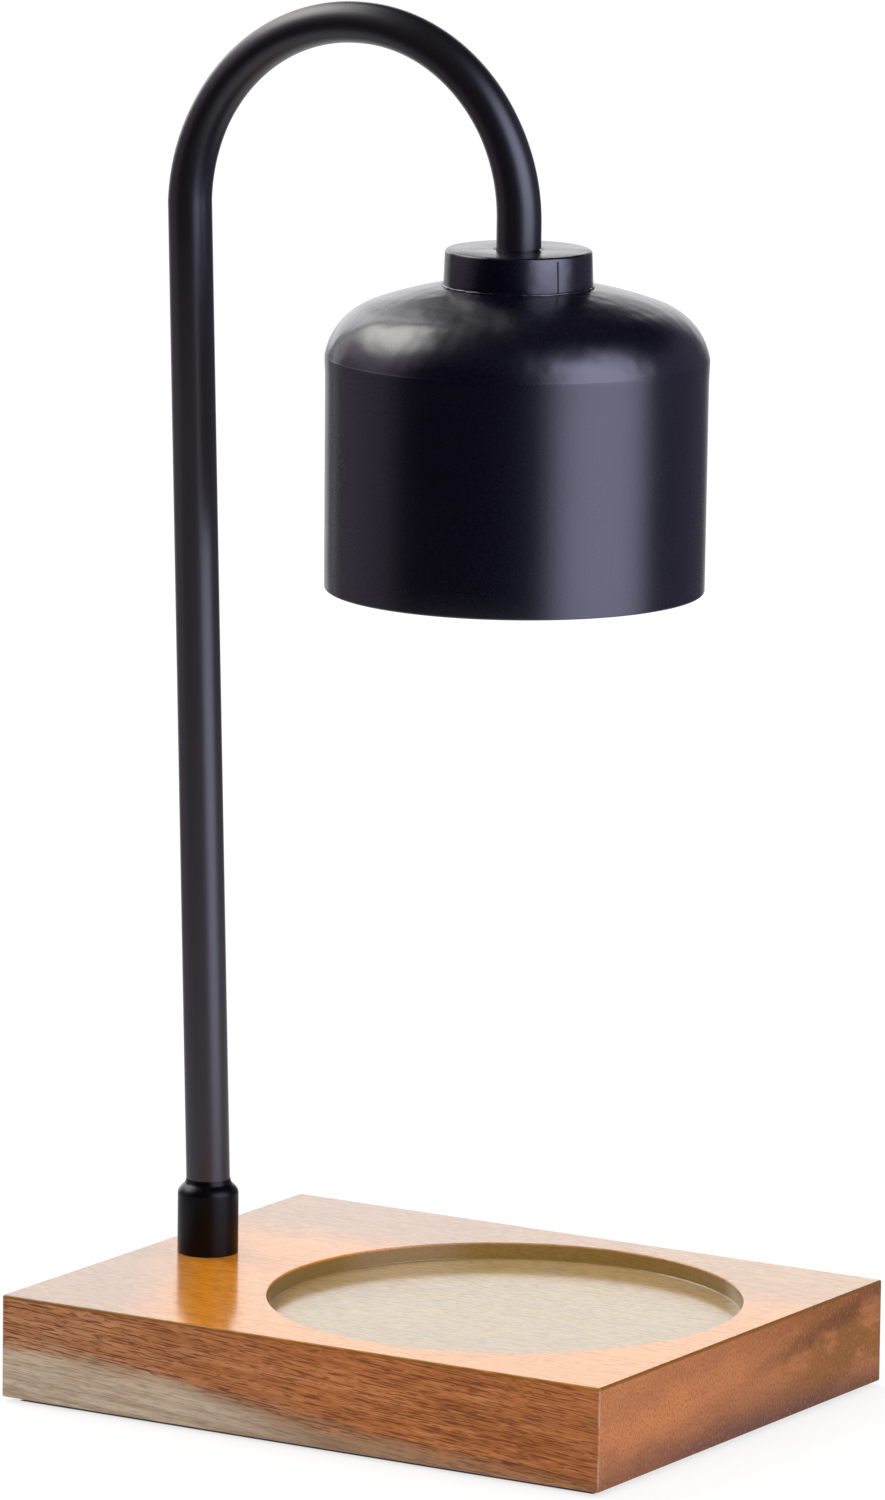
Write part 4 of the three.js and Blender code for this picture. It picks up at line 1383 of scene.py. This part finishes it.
def makeFilament():
    coil, wire, low, pitch, turns = bulb["filament"]
    bm = bmesh.new()
    start = moved(coil, 0, low) @ turned(90, "X", 4)
    sides = bulb["wireSides"]
    bmesh.ops.create_circle(bm, cap_ends=True, radius=wire * mm, segments=sides, matrix=start)
    count = bulb["coilSteps"] * turns
    geometry = bm.faces[:] + bm.edges[:] + bm.verts[:]
    climb = upAxis * (pitch * turns / count)
    spun(bm, geometry, upAxis, 360 * turns, count, climb=climb, use_duplicate=True)
    shift(bm, *bulb["place"])
    wound = finishMesh(bm, "bulb_filament", "zinc", sharp=60)
    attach(wound, "bulb")


def makeBulb():
    makeReflector()
    for name, node in (("lens", "bulb_lens"), ("capsule", "bulb_capsule")):
        bm = turn(bulb[name], bulb["glassSides"], bulb["place"], closed=False)
        enlist(finishMesh(bm, f"{node}_glass", "glass", sharp=50), "bulb", "clear_glass", node)
    makeFilament()


print("stage: bulb")
makeBulb()


# Hardware: the CAD forms with their edges eased; a name with a count is that many numbered pieces
hardware = {
    "plastic": {"base_cover": 0.35, ("crimp", 2): 0.1},
    "zinc": {
        ("cover_screw", 4): 0.18,
        "foot_washer": 0.12,
        "foot_lock_washer": 0.1,
        "foot_nut": 0.25,
        "head_lock_washer": 0.1,
        "head_nut": 0.25,
        "holder_bracket": 0.2,
        ("holder_screw", 2): 0.15,
        ("holder_nut", 2): 0.15,
    },
    "ceramic": {"lamp_holder": 0.4, "bulb_base": 0.3},
    "brass": {("holder_contact", 2): 0.1, ("bulb_pin", 2): 0.25},
    "sleeve": {("lead", 2): 0.0},
}

easing = {
    "slots": {"plastic": "black_plastic", "sleeve": "lead_sleeve"},
    "flat": 0.5,
    "sharp": 38,
    "segments": 3,
}


def numbered(name):
    return [name] if isinstance(name, str) else [f"{name[0]}_{index + 1}" for index in range(name[1])]


def sharpEdges(bm, limit):
    folded = [e for e in bm.edges if len(e.link_faces) == 2]
    return [e for e in folded if e.calc_face_angle(0) > math.radians(limit)]


def easeEdges(node, rounding, finish):
    bm = bmesh.new()
    bm.from_mesh(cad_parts[node].data)
    weld(bm, "cadWeld")
    flat = math.radians(easing["flat"])
    bmesh.ops.dissolve_limit(bm, angle_limit=flat, verts=bm.verts[:], edges=bm.edges[:])
    if rounding:
        roundEdges(bm, sharpEdges(bm, easing["sharp"]), rounding, easing["segments"])
    body = "bulb" if node.startswith("bulb") else "stand"
    piece = finishMesh(bm, f"{node}_eased", finish, easing["sharp"])
    keepFlatsFlat(piece)
    enlist(piece, body, easing["slots"].get(finish, finish), node)


print("stage: hardware")
for hardwareFinish, hardwareNodes in hardware.items():
    for nodeName, nodeRounding in hardwareNodes.items():
        for node in numbered(nodeName):
            easeEdges(node, nodeRounding, hardwareFinish)

print("stage: finish")
